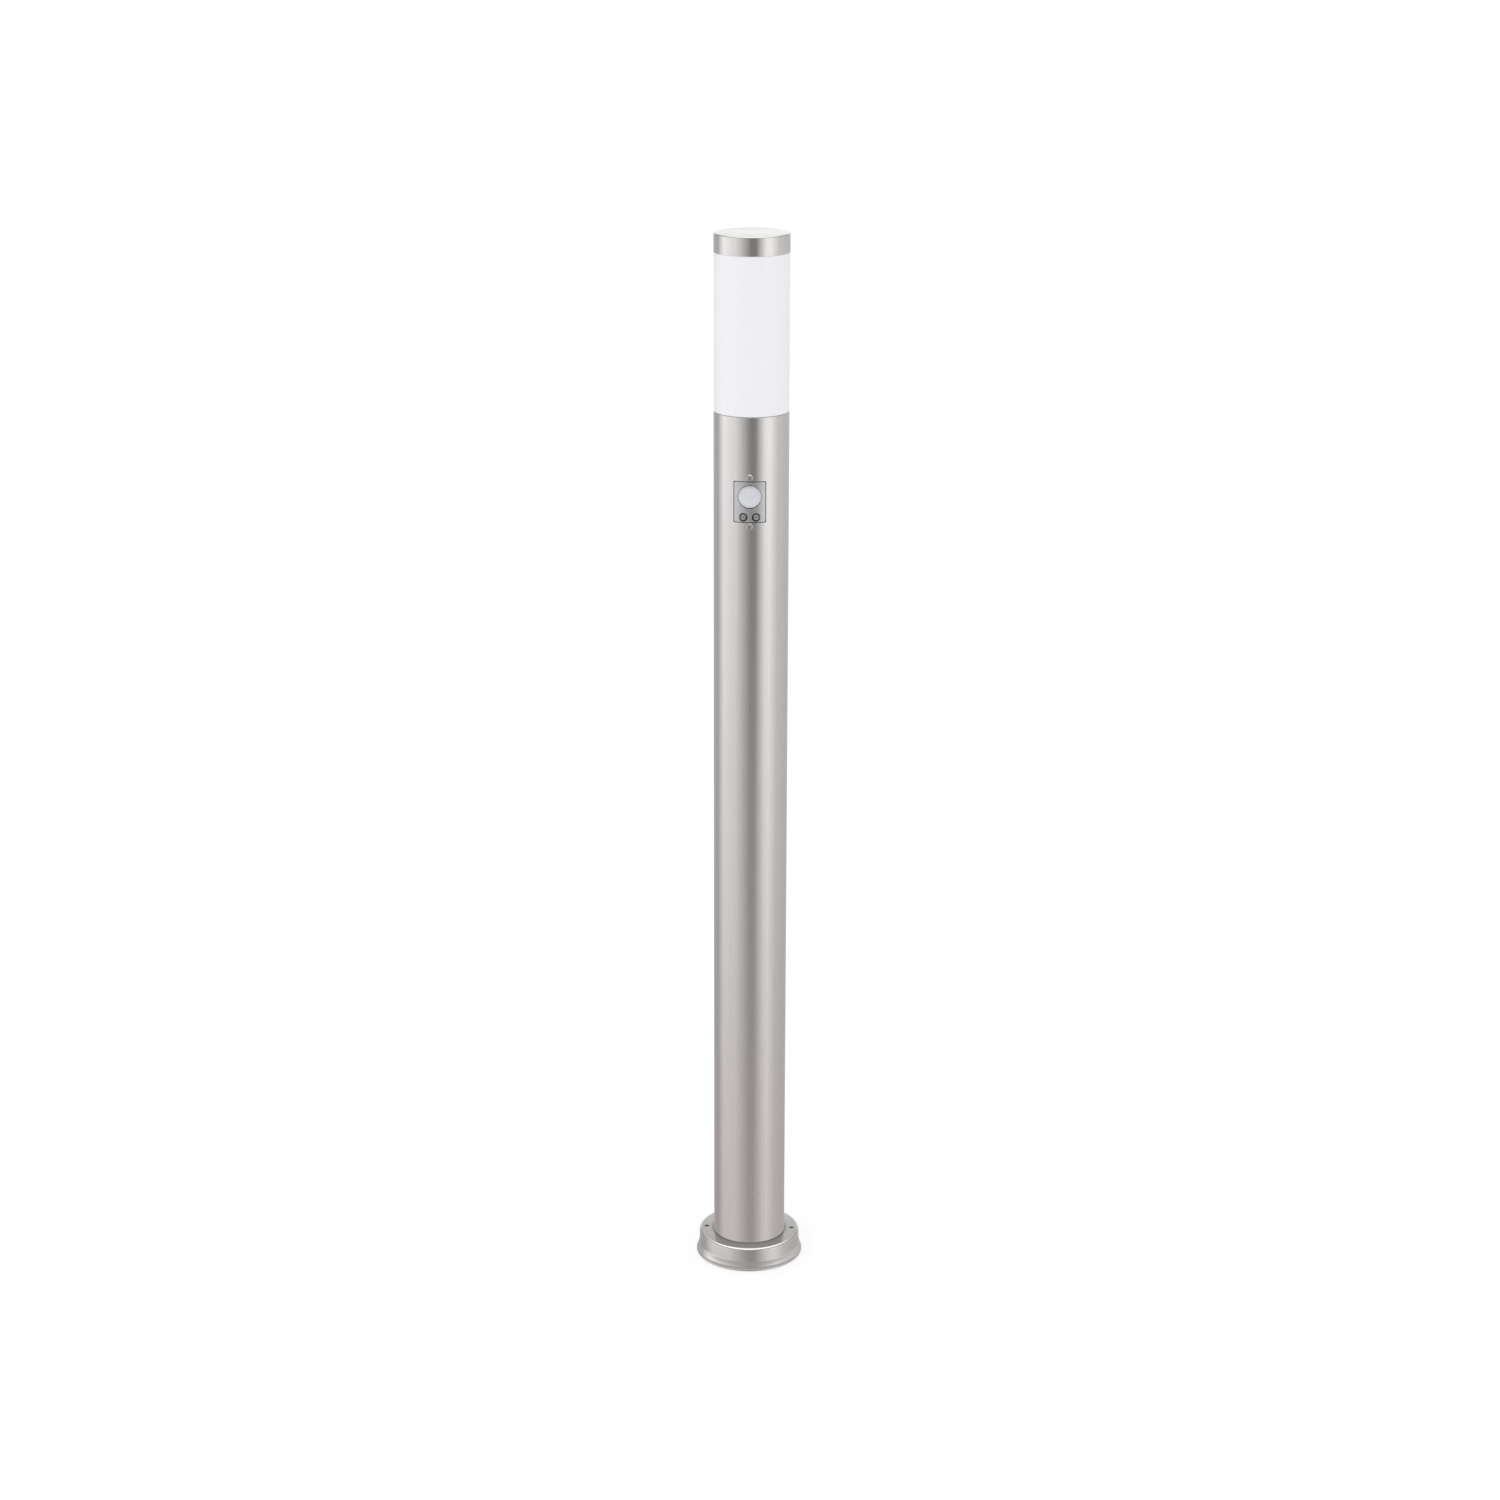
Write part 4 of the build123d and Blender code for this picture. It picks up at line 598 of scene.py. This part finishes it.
def striped_insulation():
    """Green insulation with a yellow stripe along the wire."""
    name = "Earth insulation"
    if bpy.data.materials.get(name):
        return bpy.data.materials[name]
    material = finish(name, (0.05, 0.30, 0.03), 0.42, "moulded", FINE, vary=0.1)
    tree = material.node_tree
    shader = tree.nodes["Principled BSDF"]
    green = shader.inputs["Base Color"].links[0].from_socket
    upwards = node(tree, "ShaderNodeSeparateXYZ", {
        "Vector": node(tree, "ShaderNodeNewGeometry").outputs["Normal"]}).outputs[2]
    stripe = between(tree, upwards, 0.35, 0.45)
    tree.links.new(mix_colour(tree, stripe, green, (0.60, 0.50, 0.03)), shader.inputs["Base Color"])
    return material


def dress(obj, body, slot, *nodes, material=None):
    """Give a new piece its finish and its body, and hide the CAD nodes that it stands for."""
    obj.data.materials.clear()
    obj.data.materials.append(material or slot_finish(slot))
    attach(obj, body)
    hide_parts(*nodes)
    return obj


# ---------------------------------------------------------------- the post and its base
class BOLLARD_OT_post(Operator):
    """Turn the steel tube, and cut its sensor window and screw holes"""

    bl_idname = "bollard.post"
    bl_label = "Post tube"

    def execute(self, context):
        sizes = context.scene.bollard_post
        outer = TUBE_HIGH.x
        inner = outer - sizes.tube_wall
        low, high, edge = TUBE_LOW.z, TUBE_HIGH.z, sizes.tube_edge
        window_z = middle(SCREWS_LOW, SCREWS_HIGH).z
        above = window_z + sizes.window_height
        below = window_z - sizes.window_height
        bm = profile([(outer, low), (outer, below), (outer, above), (outer, high - 3 * edge),
                      (outer, high, edge, 3), (inner, high, edge, 3), (inner, above), (inner, below),
                      (inner, low)])
        turn(bm, sizes.segments)
        tube = add_piece(bm, "post_tube")
        tool = bmesh.new()
        verts = add_block(tool, (sizes.window_width, outer, sizes.window_height), (0, -outer, window_z))
        upright = [e for e in tool.edges if abs(e.verts[0].co.y - e.verts[1].co.y) > outer / 2]
        bmesh.ops.bevel(tool, geom=upright, offset=sizes.window_corner, offset_type="OFFSET", segments=5,
                        profile=0.5, affect="EDGES", material=-1)
        reach = (SCREWS_HIGH.z - SCREWS_LOW.z) / 2 - sizes.screw_head_radius
        for side in (-1, 1):
            add_front_drill(tool, sizes.screw_hole, (0, -outer * 1.2, window_z + side * reach), outer)
        cut(tube, tool)
        dress(tube, "pole", "brushed_stainless", "pole_tube")
        # painted shade: the window's cut edges, the screw holes' walls and the tube's inside behind the
        # window are coloured near black
        tube.data.materials.append(painted_hole_shade())
        for face in tube.data.polygons:
            in_front = face.center.y < -outer / 2 and abs(face.center.z - window_z) < sizes.window_height
            if in_front and math.hypot(face.center.x, face.center.y) < outer - 0.1 * MM:
                face.material_index = 1
        return {"FINISHED"}


class BOLLARD_OT_base_cover(Operator):
    """Spin the flared base cover with its rolled lip, and drill its holes"""

    bl_idname = "bollard.base_cover"
    bl_label = "Base cover"

    def execute(self, context):
        sizes = context.scene.bollard_post
        top, wall, edge = COVER_HIGH.z, sizes.cover_wall, sizes.cover_edge
        side, kink = sizes.cover_side, sizes.cover_side + sizes.cover_taper
        roll, start, lift = sizes.lip_radius, sizes.kink_height, 2.8 * MM
        foot = kink + sizes.flare_width
        axis_r = COVER_HIGH.x - roll
        bend = ((kink + foot) / 2 + sizes.flare_bulge, (start + lift) / 2 + sizes.flare_bulge * 0.3)
        points = [
            (sizes.cable_way, top), (side, top, edge, 8), (kink, start, 0.3 * MM, 3), (*bend, 1.8 * MM, 4),
            (foot, lift), (COVER_HIGH.x, roll * 1.6, roll * 0.4, 4), (COVER_HIGH.x, 0, roll * 0.9, 6),
            (axis_r - roll, 0, roll * 0.9, 6), (axis_r - roll, lift, 0.3 * MM, 2),
            (bend[0] - wall, bend[1], 1.8 * MM, 4), (kink - wall, start, 0.3 * MM, 3),
            (side - wall, top - wall, edge - wall, 5), (sizes.cable_way, top - wall),
        ]
        bm = profile(points)
        turn(bm, sizes.segments)
        cover = add_piece(bm, "base_cover_shell", smooth_angle=35)
        tool = bmesh.new()
        for x in (-sizes.fixing_spread, sizes.fixing_spread):
            add_drill(tool, sizes.fixing_hole, top - 3 * wall, top + wall, (x, 0), segments=40)
        for angle in (30, 150, 270):
            a = math.radians(angle)
            place = (sizes.bolt_circle * math.cos(a), sizes.bolt_circle * math.sin(a))
            add_drill(tool, sizes.bolt_hole, top - 3 * wall, top + wall, place)
        cut(cover, tool, smooth_angle=35)
        dress(cover, "pole", "brushed_stainless", "base_cover", material=cover_steel())
        # left out of mirror reflections, so that the foot of the tube shows the studio and not the cover
        cover.visible_glossy = False
        # painted shade: the walls of the two flange holes are coloured near black
        cover.data.materials.append(painted_hole_shade())
        for face in cover.data.polygons:
            side_on = abs(face.normal.z) < 0.5 and face.center.z > top - 1.5 * wall
            from_hole = math.hypot(abs(face.center.x) - sizes.fixing_spread, face.center.y)
            if side_on and from_hole < sizes.fixing_hole * 1.1:
                face.material_index = 1
        return {"FINISHED"}


# ---------------------------------------------------------------- the head
class BOLLARD_OT_cap(Operator):
    """Spin the flat steel cap with its softly rounded upper edge"""

    bl_idname = "bollard.cap"
    bl_label = "Top cap"

    def execute(self, context):
        sizes = context.scene.bollard_head
        outer, wall, edge, rim = CAP_HIGH.x, sizes.cap_wall, sizes.cap_edge, sizes.rim_edge
        bm = profile([(0, CAP_HIGH.z), (outer, CAP_HIGH.z, edge, 8), (outer, CAP_HIGH.z - 1.5 * edge),
                      (outer, CAP_LOW.z + 3 * rim), (outer, CAP_LOW.z, rim, 3),
                      (outer - wall, CAP_LOW.z, rim, 3), (outer - wall, CAP_HIGH.z - wall, edge - wall, 4),
                      (0, CAP_HIGH.z - wall)], closed=False)
        turn(bm, context.scene.bollard_post.segments)
        cap = add_piece(bm, "cap_shell")
        dress(cap, "head", "brushed_stainless", "top_cap")
        cap.data.materials.append(turned_steel())
        for face in cap.data.polygons:
            face.material_index = int(face.normal.z > 0.5)
        return {"FINISHED"}


class BOLLARD_OT_diffuser(Operator):
    """Draw the opal tube with its neck inside the cap"""

    bl_idname = "bollard.diffuser"
    bl_label = "Diffuser"

    def execute(self, context):
        sizes = context.scene.bollard_head
        outer, low, high = DIFFUSER_HIGH.x, DIFFUSER_LOW.z, DIFFUSER_HIGH.z
        neck, bore, edge = sizes.neck_radius, outer - sizes.diffuser_wall, sizes.diffuser_edge
        shoulder = CAP_LOW.z
        neck_bore = neck - sizes.neck_wall
        bm = profile([(outer, low, edge, 4), (outer, shoulder), (neck, shoulder, 0.2 * MM, 2),
                      (neck, high, edge, 3), (neck_bore, high, edge, 3), (neck_bore, shoulder),
                      (bore, shoulder - 1 * MM), (bore, low)])
        turn(bm, context.scene.bollard_post.segments)
        sleeve = add_piece(bm, "diffuser_sleeve")
        dress(sleeve, "head", "opal_plastic", "diffuser")
        return {"FINISHED"}


# ---------------------------------------------------------------- the sensor
class BOLLARD_OT_lens(Operator):
    """Turn the white lens: a thin dome on a flat seat"""

    bl_idname = "bollard.lens"
    bl_label = "Sensor lens"

    def execute(self, context):
        sizes = context.scene.bollard_sensor
        seat = (LENS_HIGH.x - LENS_LOW.x) / 2
        radius, wall, flange = sizes.lens_radius, sizes.lens_wall, sizes.lens_flange
        steps = 14
        bm = bmesh.new()
        start = bm.verts.new((0, 0, radius))
        outer = bmesh.ops.spin(bm, geom=[start], cent=(0, 0, 0), axis=(0, 1, 0), angle=math.radians(84),
                               steps=steps, use_merge=False)["geom_last"][0]
        corner = [bm.verts.new(p) for p in ((radius + 0.1 * MM, 0, 0.3 * MM), (radius + 0.5 * MM, 0, 0),
                                            (seat, 0, 0), (seat, 0, -flange), (radius - wall, 0, -flange))]
        for a, b in zip([outer] + corner, corner):
            bm.edges.new((a, b))
        inner = bm.verts.new((0, 0, radius - wall))
        last = bmesh.ops.spin(bm, geom=[inner], cent=(0, 0, 0), axis=(0, 1, 0), angle=math.radians(86),
                              steps=steps, use_merge=False)["geom_last"][0]
        bm.edges.new((last, corner[-1]))
        turn(bm, 64)
        face_front(bm, (0, LENS_LOW.y + radius, middle(LENS_LOW, LENS_HIGH).z))
        lens = add_piece(bm, "lens_dome", smooth_angle=50)
        dress(lens, "pole", "lens_white", "sensor_lens")
        return {"FINISHED"}


class BOLLARD_OT_sensor_screws(Operator):
    """Turn the two domed screws, with hexagon sockets and threaded shanks"""

    bl_idname = "bollard.sensor_screws"
    bl_label = "Sensor screws"

    def execute(self, context):
        sizes = context.scene.bollard_sensor
        head, height, shank = sizes.screw_head, sizes.head_height, sizes.shank
        front, back = SCREWS_LOW.y, SCREWS_HIGH.y
        total = back - front
        pitch = 0.5 * MM
        joined = bmesh.new()
        for z in (SCREWS_LOW.z + head, SCREWS_HIGH.z - head):
            points = [(0, height), (head * 0.62, height, 0.6 * MM, 4), (head, height * 0.42, 0.7 * MM, 5),
                      (head, 0, 0.1 * MM, 2), (shank, 0)]
            crest = -0.6 * MM
            while crest - pitch > height - total + 0.3 * MM:
                points += [(shank, crest), (shank - 0.25 * MM, crest - pitch / 2)]
                crest -= pitch
            points += [(shank * 0.8, height - total), (0, height - total)]
            bm = profile(points, closed=False)
            turn(bm, 48)
            face_front(bm, (0, front + height, z))
            mesh = bpy.data.meshes.new("screw")
            bm.to_mesh(mesh)
            bm.free()
            joined.from_mesh(mesh)
            bpy.data.meshes.remove(mesh)
        screws = add_piece(joined, "sensor_screw_heads", smooth_angle=35)
        tool = bmesh.new()
        for z in (SCREWS_LOW.z + head, SCREWS_HIGH.z - head):
            add_front_drill(tool, sizes.recess, (0, front - 1 * MM, z), 1 * MM + sizes.recess_depth,
                            segments=6)
        cut(screws, tool, smooth_angle=35)
        dress(screws, "pole", "screw_steel", "sensor_screws")
        return {"FINISHED"}


class BOLLARD_OT_adjusters(Operator):
    """Turn the two small adjusters and cut their screwdriver slots"""

    bl_idname = "bollard.adjusters"
    bl_label = "Adjusters"

    def execute(self, context):
        sizes = context.scene.bollard_sensor
        for name, low, high in (("time_adjuster", TIME_LOW, TIME_HIGH),
                                ("light_level_adjuster", LIGHT_LOW, LIGHT_HIGH)):
            radius = (high.x - low.x) / 2
            depth = high.y - low.y
            spot = middle(low, high)
            edge = sizes.knob_edge
            bm = profile([(0, 0), (radius, 0, edge, 3), (radius, -depth), (0, -depth)], closed=False)
            turn(bm, 48)
            face_front(bm, (spot.x, low.y, spot.z))
            knob = add_piece(bm, name + "_knob", smooth_angle=35)
            tool = bmesh.new()
            add_block(tool, (radius * 4, sizes.slot_depth * 2, sizes.slot_width), (spot.x, low.y, spot.z))
            cut(knob, tool, smooth_angle=35)
            dress(knob, name, "dark_grey_plastic", name)
        return {"FINISHED"}


# ---------------------------------------------------------------- the lamp
class BOLLARD_OT_lamp(Operator):
    """Turn the lamp's hollow opal globe and its white housing"""

    bl_idname = "bollard.lamp"
    bl_label = "Lamp"

    def execute(self, context):
        sizes = context.scene.bollard_head
        radius, wall, joint = GLOBE_HIGH.x, sizes.bulb_wall, sizes.bulb_joint
        low, crown = GLOBE_LOW.z, GLOBE_HIGH.z
        dome = crown - radius
        steps = 20
        arc = [math.radians(90) * k / steps for k in range(steps + 1)]
        outside = [(radius * math.cos(a), dome + radius * math.sin(a)) for a in arc]
        hollow = radius - wall
        inside = [(hollow * math.cos(a), dome + hollow * math.sin(a)) for a in reversed(arc)]
        bm = profile([(radius - wall, low), (radius - joint, low), (radius - joint, low + joint),
                      (radius, low + joint)] + outside + inside)
        turn(bm, 96)
        globe = add_piece(bm, "lamp_globe")
        dress(globe, "bulb", "bulb_opal", "bulb_globe")
        neck, height = sizes.bulb_neck, HOUSING_HIGH.z - HOUSING_LOW.z
        points = [(0, HOUSING_LOW.z), (neck, HOUSING_LOW.z)]
        for k in range(1, steps):
            share_up = k / steps
            bow = share_up * share_up * (3 - 2 * share_up) * 0.5 + share_up * 0.5
            points.append((neck + (radius - neck) * bow, HOUSING_LOW.z + height * share_up))
        points += [(radius, HOUSING_HIGH.z), (0, HOUSING_HIGH.z)]
        bm = profile(points, closed=False)
        turn(bm, 96)
        housing = add_piece(bm, "lamp_housing")
        dress(housing, "bulb", "white_plastic", "bulb_housing")
        return {"FINISHED"}


class BOLLARD_OT_inner_parts(Operator):
    """Give every CAD piece that stays its own finish"""

    bl_idname = "bollard.inner_parts"
    bl_label = "Inner parts"

    def execute(self, context):
        slots = {part["node"]: part["material_slot"] for part in frame["record"]["subparts"]}
        for name, obj in frame["nodes"].items():
            if obj.hide_render:
                continue
            top = max((obj.matrix_world @ Vector(corner)).z for corner in obj.bound_box)
            # the pieces under the cover are left out of mirror reflections with it
            obj.visible_glossy = top > COVER_HIGH.z
            for material_slot in obj.material_slots:
                material_slot.material = slot_finish(slots[name])
        return {"FINISHED"}


# ---------------------------------------------------------------- the studio
# light on the studio's walls: (degrees round from the front, brightness). A dark gap at the front stands
# between two soft boxes, and the walls behind are grey.
UPPER_WALL = ((-180, 0.6), (-120, 0.6), (-90, 1.4), (-45, 1.1), (0, 0.3), (15, 0.3), (45, 1.3), (60, 1.4),
              (90, 0.9), (180, 0.6))
LOWER_WALL = ((-180, 0.5), (-120, 0.5), (-90, 0.8), (-45, 0.8), (0, 0.5), (15, 0.5), (45, 0.8), (60, 0.9),
              (90, 0.7), (180, 0.5))
# the same over the height: (degrees up from level, brightness)
BACK_RISE = ((0, 1.2), (10, 1.2), (25, 0.7), (40, 0.7), (60, 1.5), (90, 1.9))
FRONT_RISE = ((0, 0.5), (30, 0.5), (45, 1.2), (60, 1.9), (90, 1.9))
WARM = (1.0, 0.94, 0.93)
BRIGHTEST = 2.0


def ramp(tree, factor, stops, low, span, tint=(1, 1, 1)):
    """A colour ramp over an angle, holding brightness up to BRIGHTEST."""
    made = node(tree, "ShaderNodeValToRGB", {"Fac": factor})
    elements = made.color_ramp.elements
    while len(elements) < len(stops):
        elements.new(0.5)
    for element, (angle, level) in zip(elements, stops):
        element.position = (angle - low) / span
    for element, (angle, level) in zip(elements, stops):
        element.color = (*(level / BRIGHTEST * t for t in tint), 1)
    return made.outputs[0]


def light_studio(settings):
    world = bpy.data.worlds.new("Soft studio")
    bpy.context.scene.world = world
    world.use_nodes = True
    world.cycles.sampling_method = "NONE"
    tree = world.node_tree
    tree.nodes.clear()
    out = tree.nodes.new("ShaderNodeOutputWorld")
    direction = tree.nodes.new("ShaderNodeTexCoord").outputs["Generated"]
    parts = node(tree, "ShaderNodeSeparateXYZ", {"Vector": direction}).outputs
    towards = maths(tree, "MULTIPLY", parts[1], -1.0)
    azimuth = maths(tree, "ARCTAN2", parts[0], towards)
    round_share = between(tree, azimuth, -math.pi, math.pi)
    rise = maths(tree, "ARCSINE", parts[2])
    upper = ramp(tree, round_share, UPPER_WALL, -180, 360)
    lower = ramp(tree, round_share, LOWER_WALL, -180, 360, WARM)
    up_share = between(tree, rise, 0.0, math.pi / 2)
    back = ramp(tree, up_share, BACK_RISE, 0, 90)
    front = ramp(tree, up_share, FRONT_RISE, 0, 90)
    risen = between(tree, rise, math.radians(4), math.radians(20), smooth=True)
    low_front = mix_colour(tree, risen, lower, front)
    facing = between(tree, towards, -0.93, -0.75, smooth=True)
    above = mix_colour(tree, facing, back, low_front)
    walls = mix_colour(tree, between(tree, rise, math.radians(-26.5), math.radians(-9)), lower, upper)
    seen = mix_colour(tree, between(tree, rise, math.radians(-1), math.radians(5), smooth=True), walls, above)
    path = tree.nodes.new("ShaderNodeLightPath").outputs
    mirrored = node(tree, "ShaderNodeBackground", {"Color": seen, "Strength": BRIGHTEST})
    even = node(tree, "ShaderNodeBackground", {"Color": (0.99, 0.995, 1.0, 1.0),
                                               "Strength": settings.soft_light})
    white = node(tree, "ShaderNodeBackground", {"Color": (1, 1, 1, 1), "Strength": 1.0})
    first = node(tree, "ShaderNodeMixShader", {0: path["Is Glossy Ray"], 1: even.outputs[0],
                                               2: mirrored.outputs[0]})
    last = node(tree, "ShaderNodeMixShader", {0: path["Is Camera Ray"], 1: first.outputs[0],
                                              2: white.outputs[0]})
    tree.links.new(last.outputs[0], out.inputs[0])


def lay_floor(settings):
    bm = bmesh.new()
    bmesh.ops.create_grid(bm, x_segments=8, y_segments=8, size=settings.floor_side / 2)
    floor = add_piece(bm, "studio_floor")
    material = bpy.data.materials.new("Pale floor")
    material.use_nodes = True
    shader = material.node_tree.nodes["Principled BSDF"]
    shader.inputs["Base Color"].default_value = (0.9, 0.9, 0.9, 1)
    shader.inputs["Roughness"].default_value = 1.0
    shader.inputs["Specular IOR Level"].default_value = 0.0
    shader.inputs["Emission Color"].default_value = (1, 1, 1, 1)
    shader.inputs["Emission Strength"].default_value = 0.24
    floor.data.materials.append(material)
    floor.visible_glossy = False


def hang_key_light(settings):
    lamp = bpy.data.lights.new("Key light", "AREA")
    lamp.shape = "DISK"
    lamp.size = 1.6
    lamp.energy = settings.key_power
    obj = bpy.data.objects.new("Key light", lamp)
    obj.visible_glossy = False
    obj.visible_camera = False
    obj.location = (-1.5, -2.0, 2.4)
    aim = Vector((0, 0, 0.8)) - Vector(obj.location)
    obj.rotation_euler = aim.to_track_quat("-Z", "Y").to_euler()
    bpy.context.scene.collection.objects.link(obj)


def place_camera(settings):
    data = bpy.data.cameras.new("Camera")
    data.lens = settings.lens
    data.sensor_width = 36
    data.clip_end = 200
    camera = bpy.data.objects.new("Camera", data)
    turned, down, roll = settings.round_angle, settings.pitch, settings.roll
    right = Vector((math.cos(turned), math.sin(turned), 0))
    ahead = Vector((-math.sin(turned) * math.cos(down), math.cos(turned) * math.cos(down), -math.sin(down)))
    up = right.cross(ahead)
    rolled_right = right * math.cos(roll) + up * math.sin(roll)
    rolled_up = up * math.cos(roll) - right * math.sin(roll)
    place = Vector((math.sin(turned) * settings.distance, -math.cos(turned) * settings.distance,
                    settings.height))
    place += right * settings.sideways
    matrix = Matrix((rolled_right, rolled_up, -ahead)).transposed().to_4x4()
    matrix.translation = place
    camera.matrix_world = matrix
    bpy.context.scene.collection.objects.link(camera)
    bpy.context.scene.camera = camera


class BOLLARD_OT_studio(Operator):
    """Lay the pale floor, light it softly and set up the camera"""

    bl_idname = "bollard.studio"
    bl_label = "Studio"

    def execute(self, context):
        settings = context.scene.bollard_studio
        light_studio(settings)
        lay_floor(settings)
        hang_key_light(settings)
        place_camera(settings)
        context.scene.view_settings.view_transform = "Standard"
        return {"FINISHED"}


STEPS = (BOLLARD_OT_post, BOLLARD_OT_base_cover, BOLLARD_OT_cap, BOLLARD_OT_diffuser, BOLLARD_OT_lens,
         BOLLARD_OT_sensor_screws, BOLLARD_OT_adjusters, BOLLARD_OT_lamp, BOLLARD_OT_inner_parts,
         BOLLARD_OT_studio)
SETTINGS = (("bollard_post", PostSizes), ("bollard_head", HeadSizes), ("bollard_sensor", SensorSizes),
            ("bollard_colours", FinishColours), ("bollard_studio", StudioSizes))


class BOLLARD_PT_panel(Panel):
    """Sizes, colours and steps of the bollard light"""

    bl_idname = "BOLLARD_PT_panel"
    bl_label = "Bollard light"
    bl_space_type = "VIEW_3D"
    bl_region_type = "UI"
    bl_category = "Bollard"

    def draw(self, context):
        for step in STEPS:
            self.layout.operator(step.bl_idname)
        for name, group in SETTINGS:
            box = self.layout.box()
            settings = getattr(context.scene, name)
            for key in group.__annotations__:
                box.prop(settings, key)


def register():
    for name, group in SETTINGS:
        bpy.utils.register_class(group)
        setattr(bpy.types.Scene, name, PointerProperty(type=group))
    for step in STEPS:
        bpy.utils.register_class(step)
    bpy.utils.register_class(BOLLARD_PT_panel)


def unregister():
    bpy.utils.unregister_class(BOLLARD_PT_panel)
    for step in reversed(STEPS):
        bpy.utils.unregister_class(step)
    for name, group in reversed(SETTINGS):
        delattr(bpy.types.Scene, name)
        bpy.utils.unregister_class(group)


def main():
    register()
    for step in STEPS:
        group, name = step.bl_idname.split(".")
        getattr(getattr(bpy.ops, group), name)()


if __name__ == "__main__":
    main()
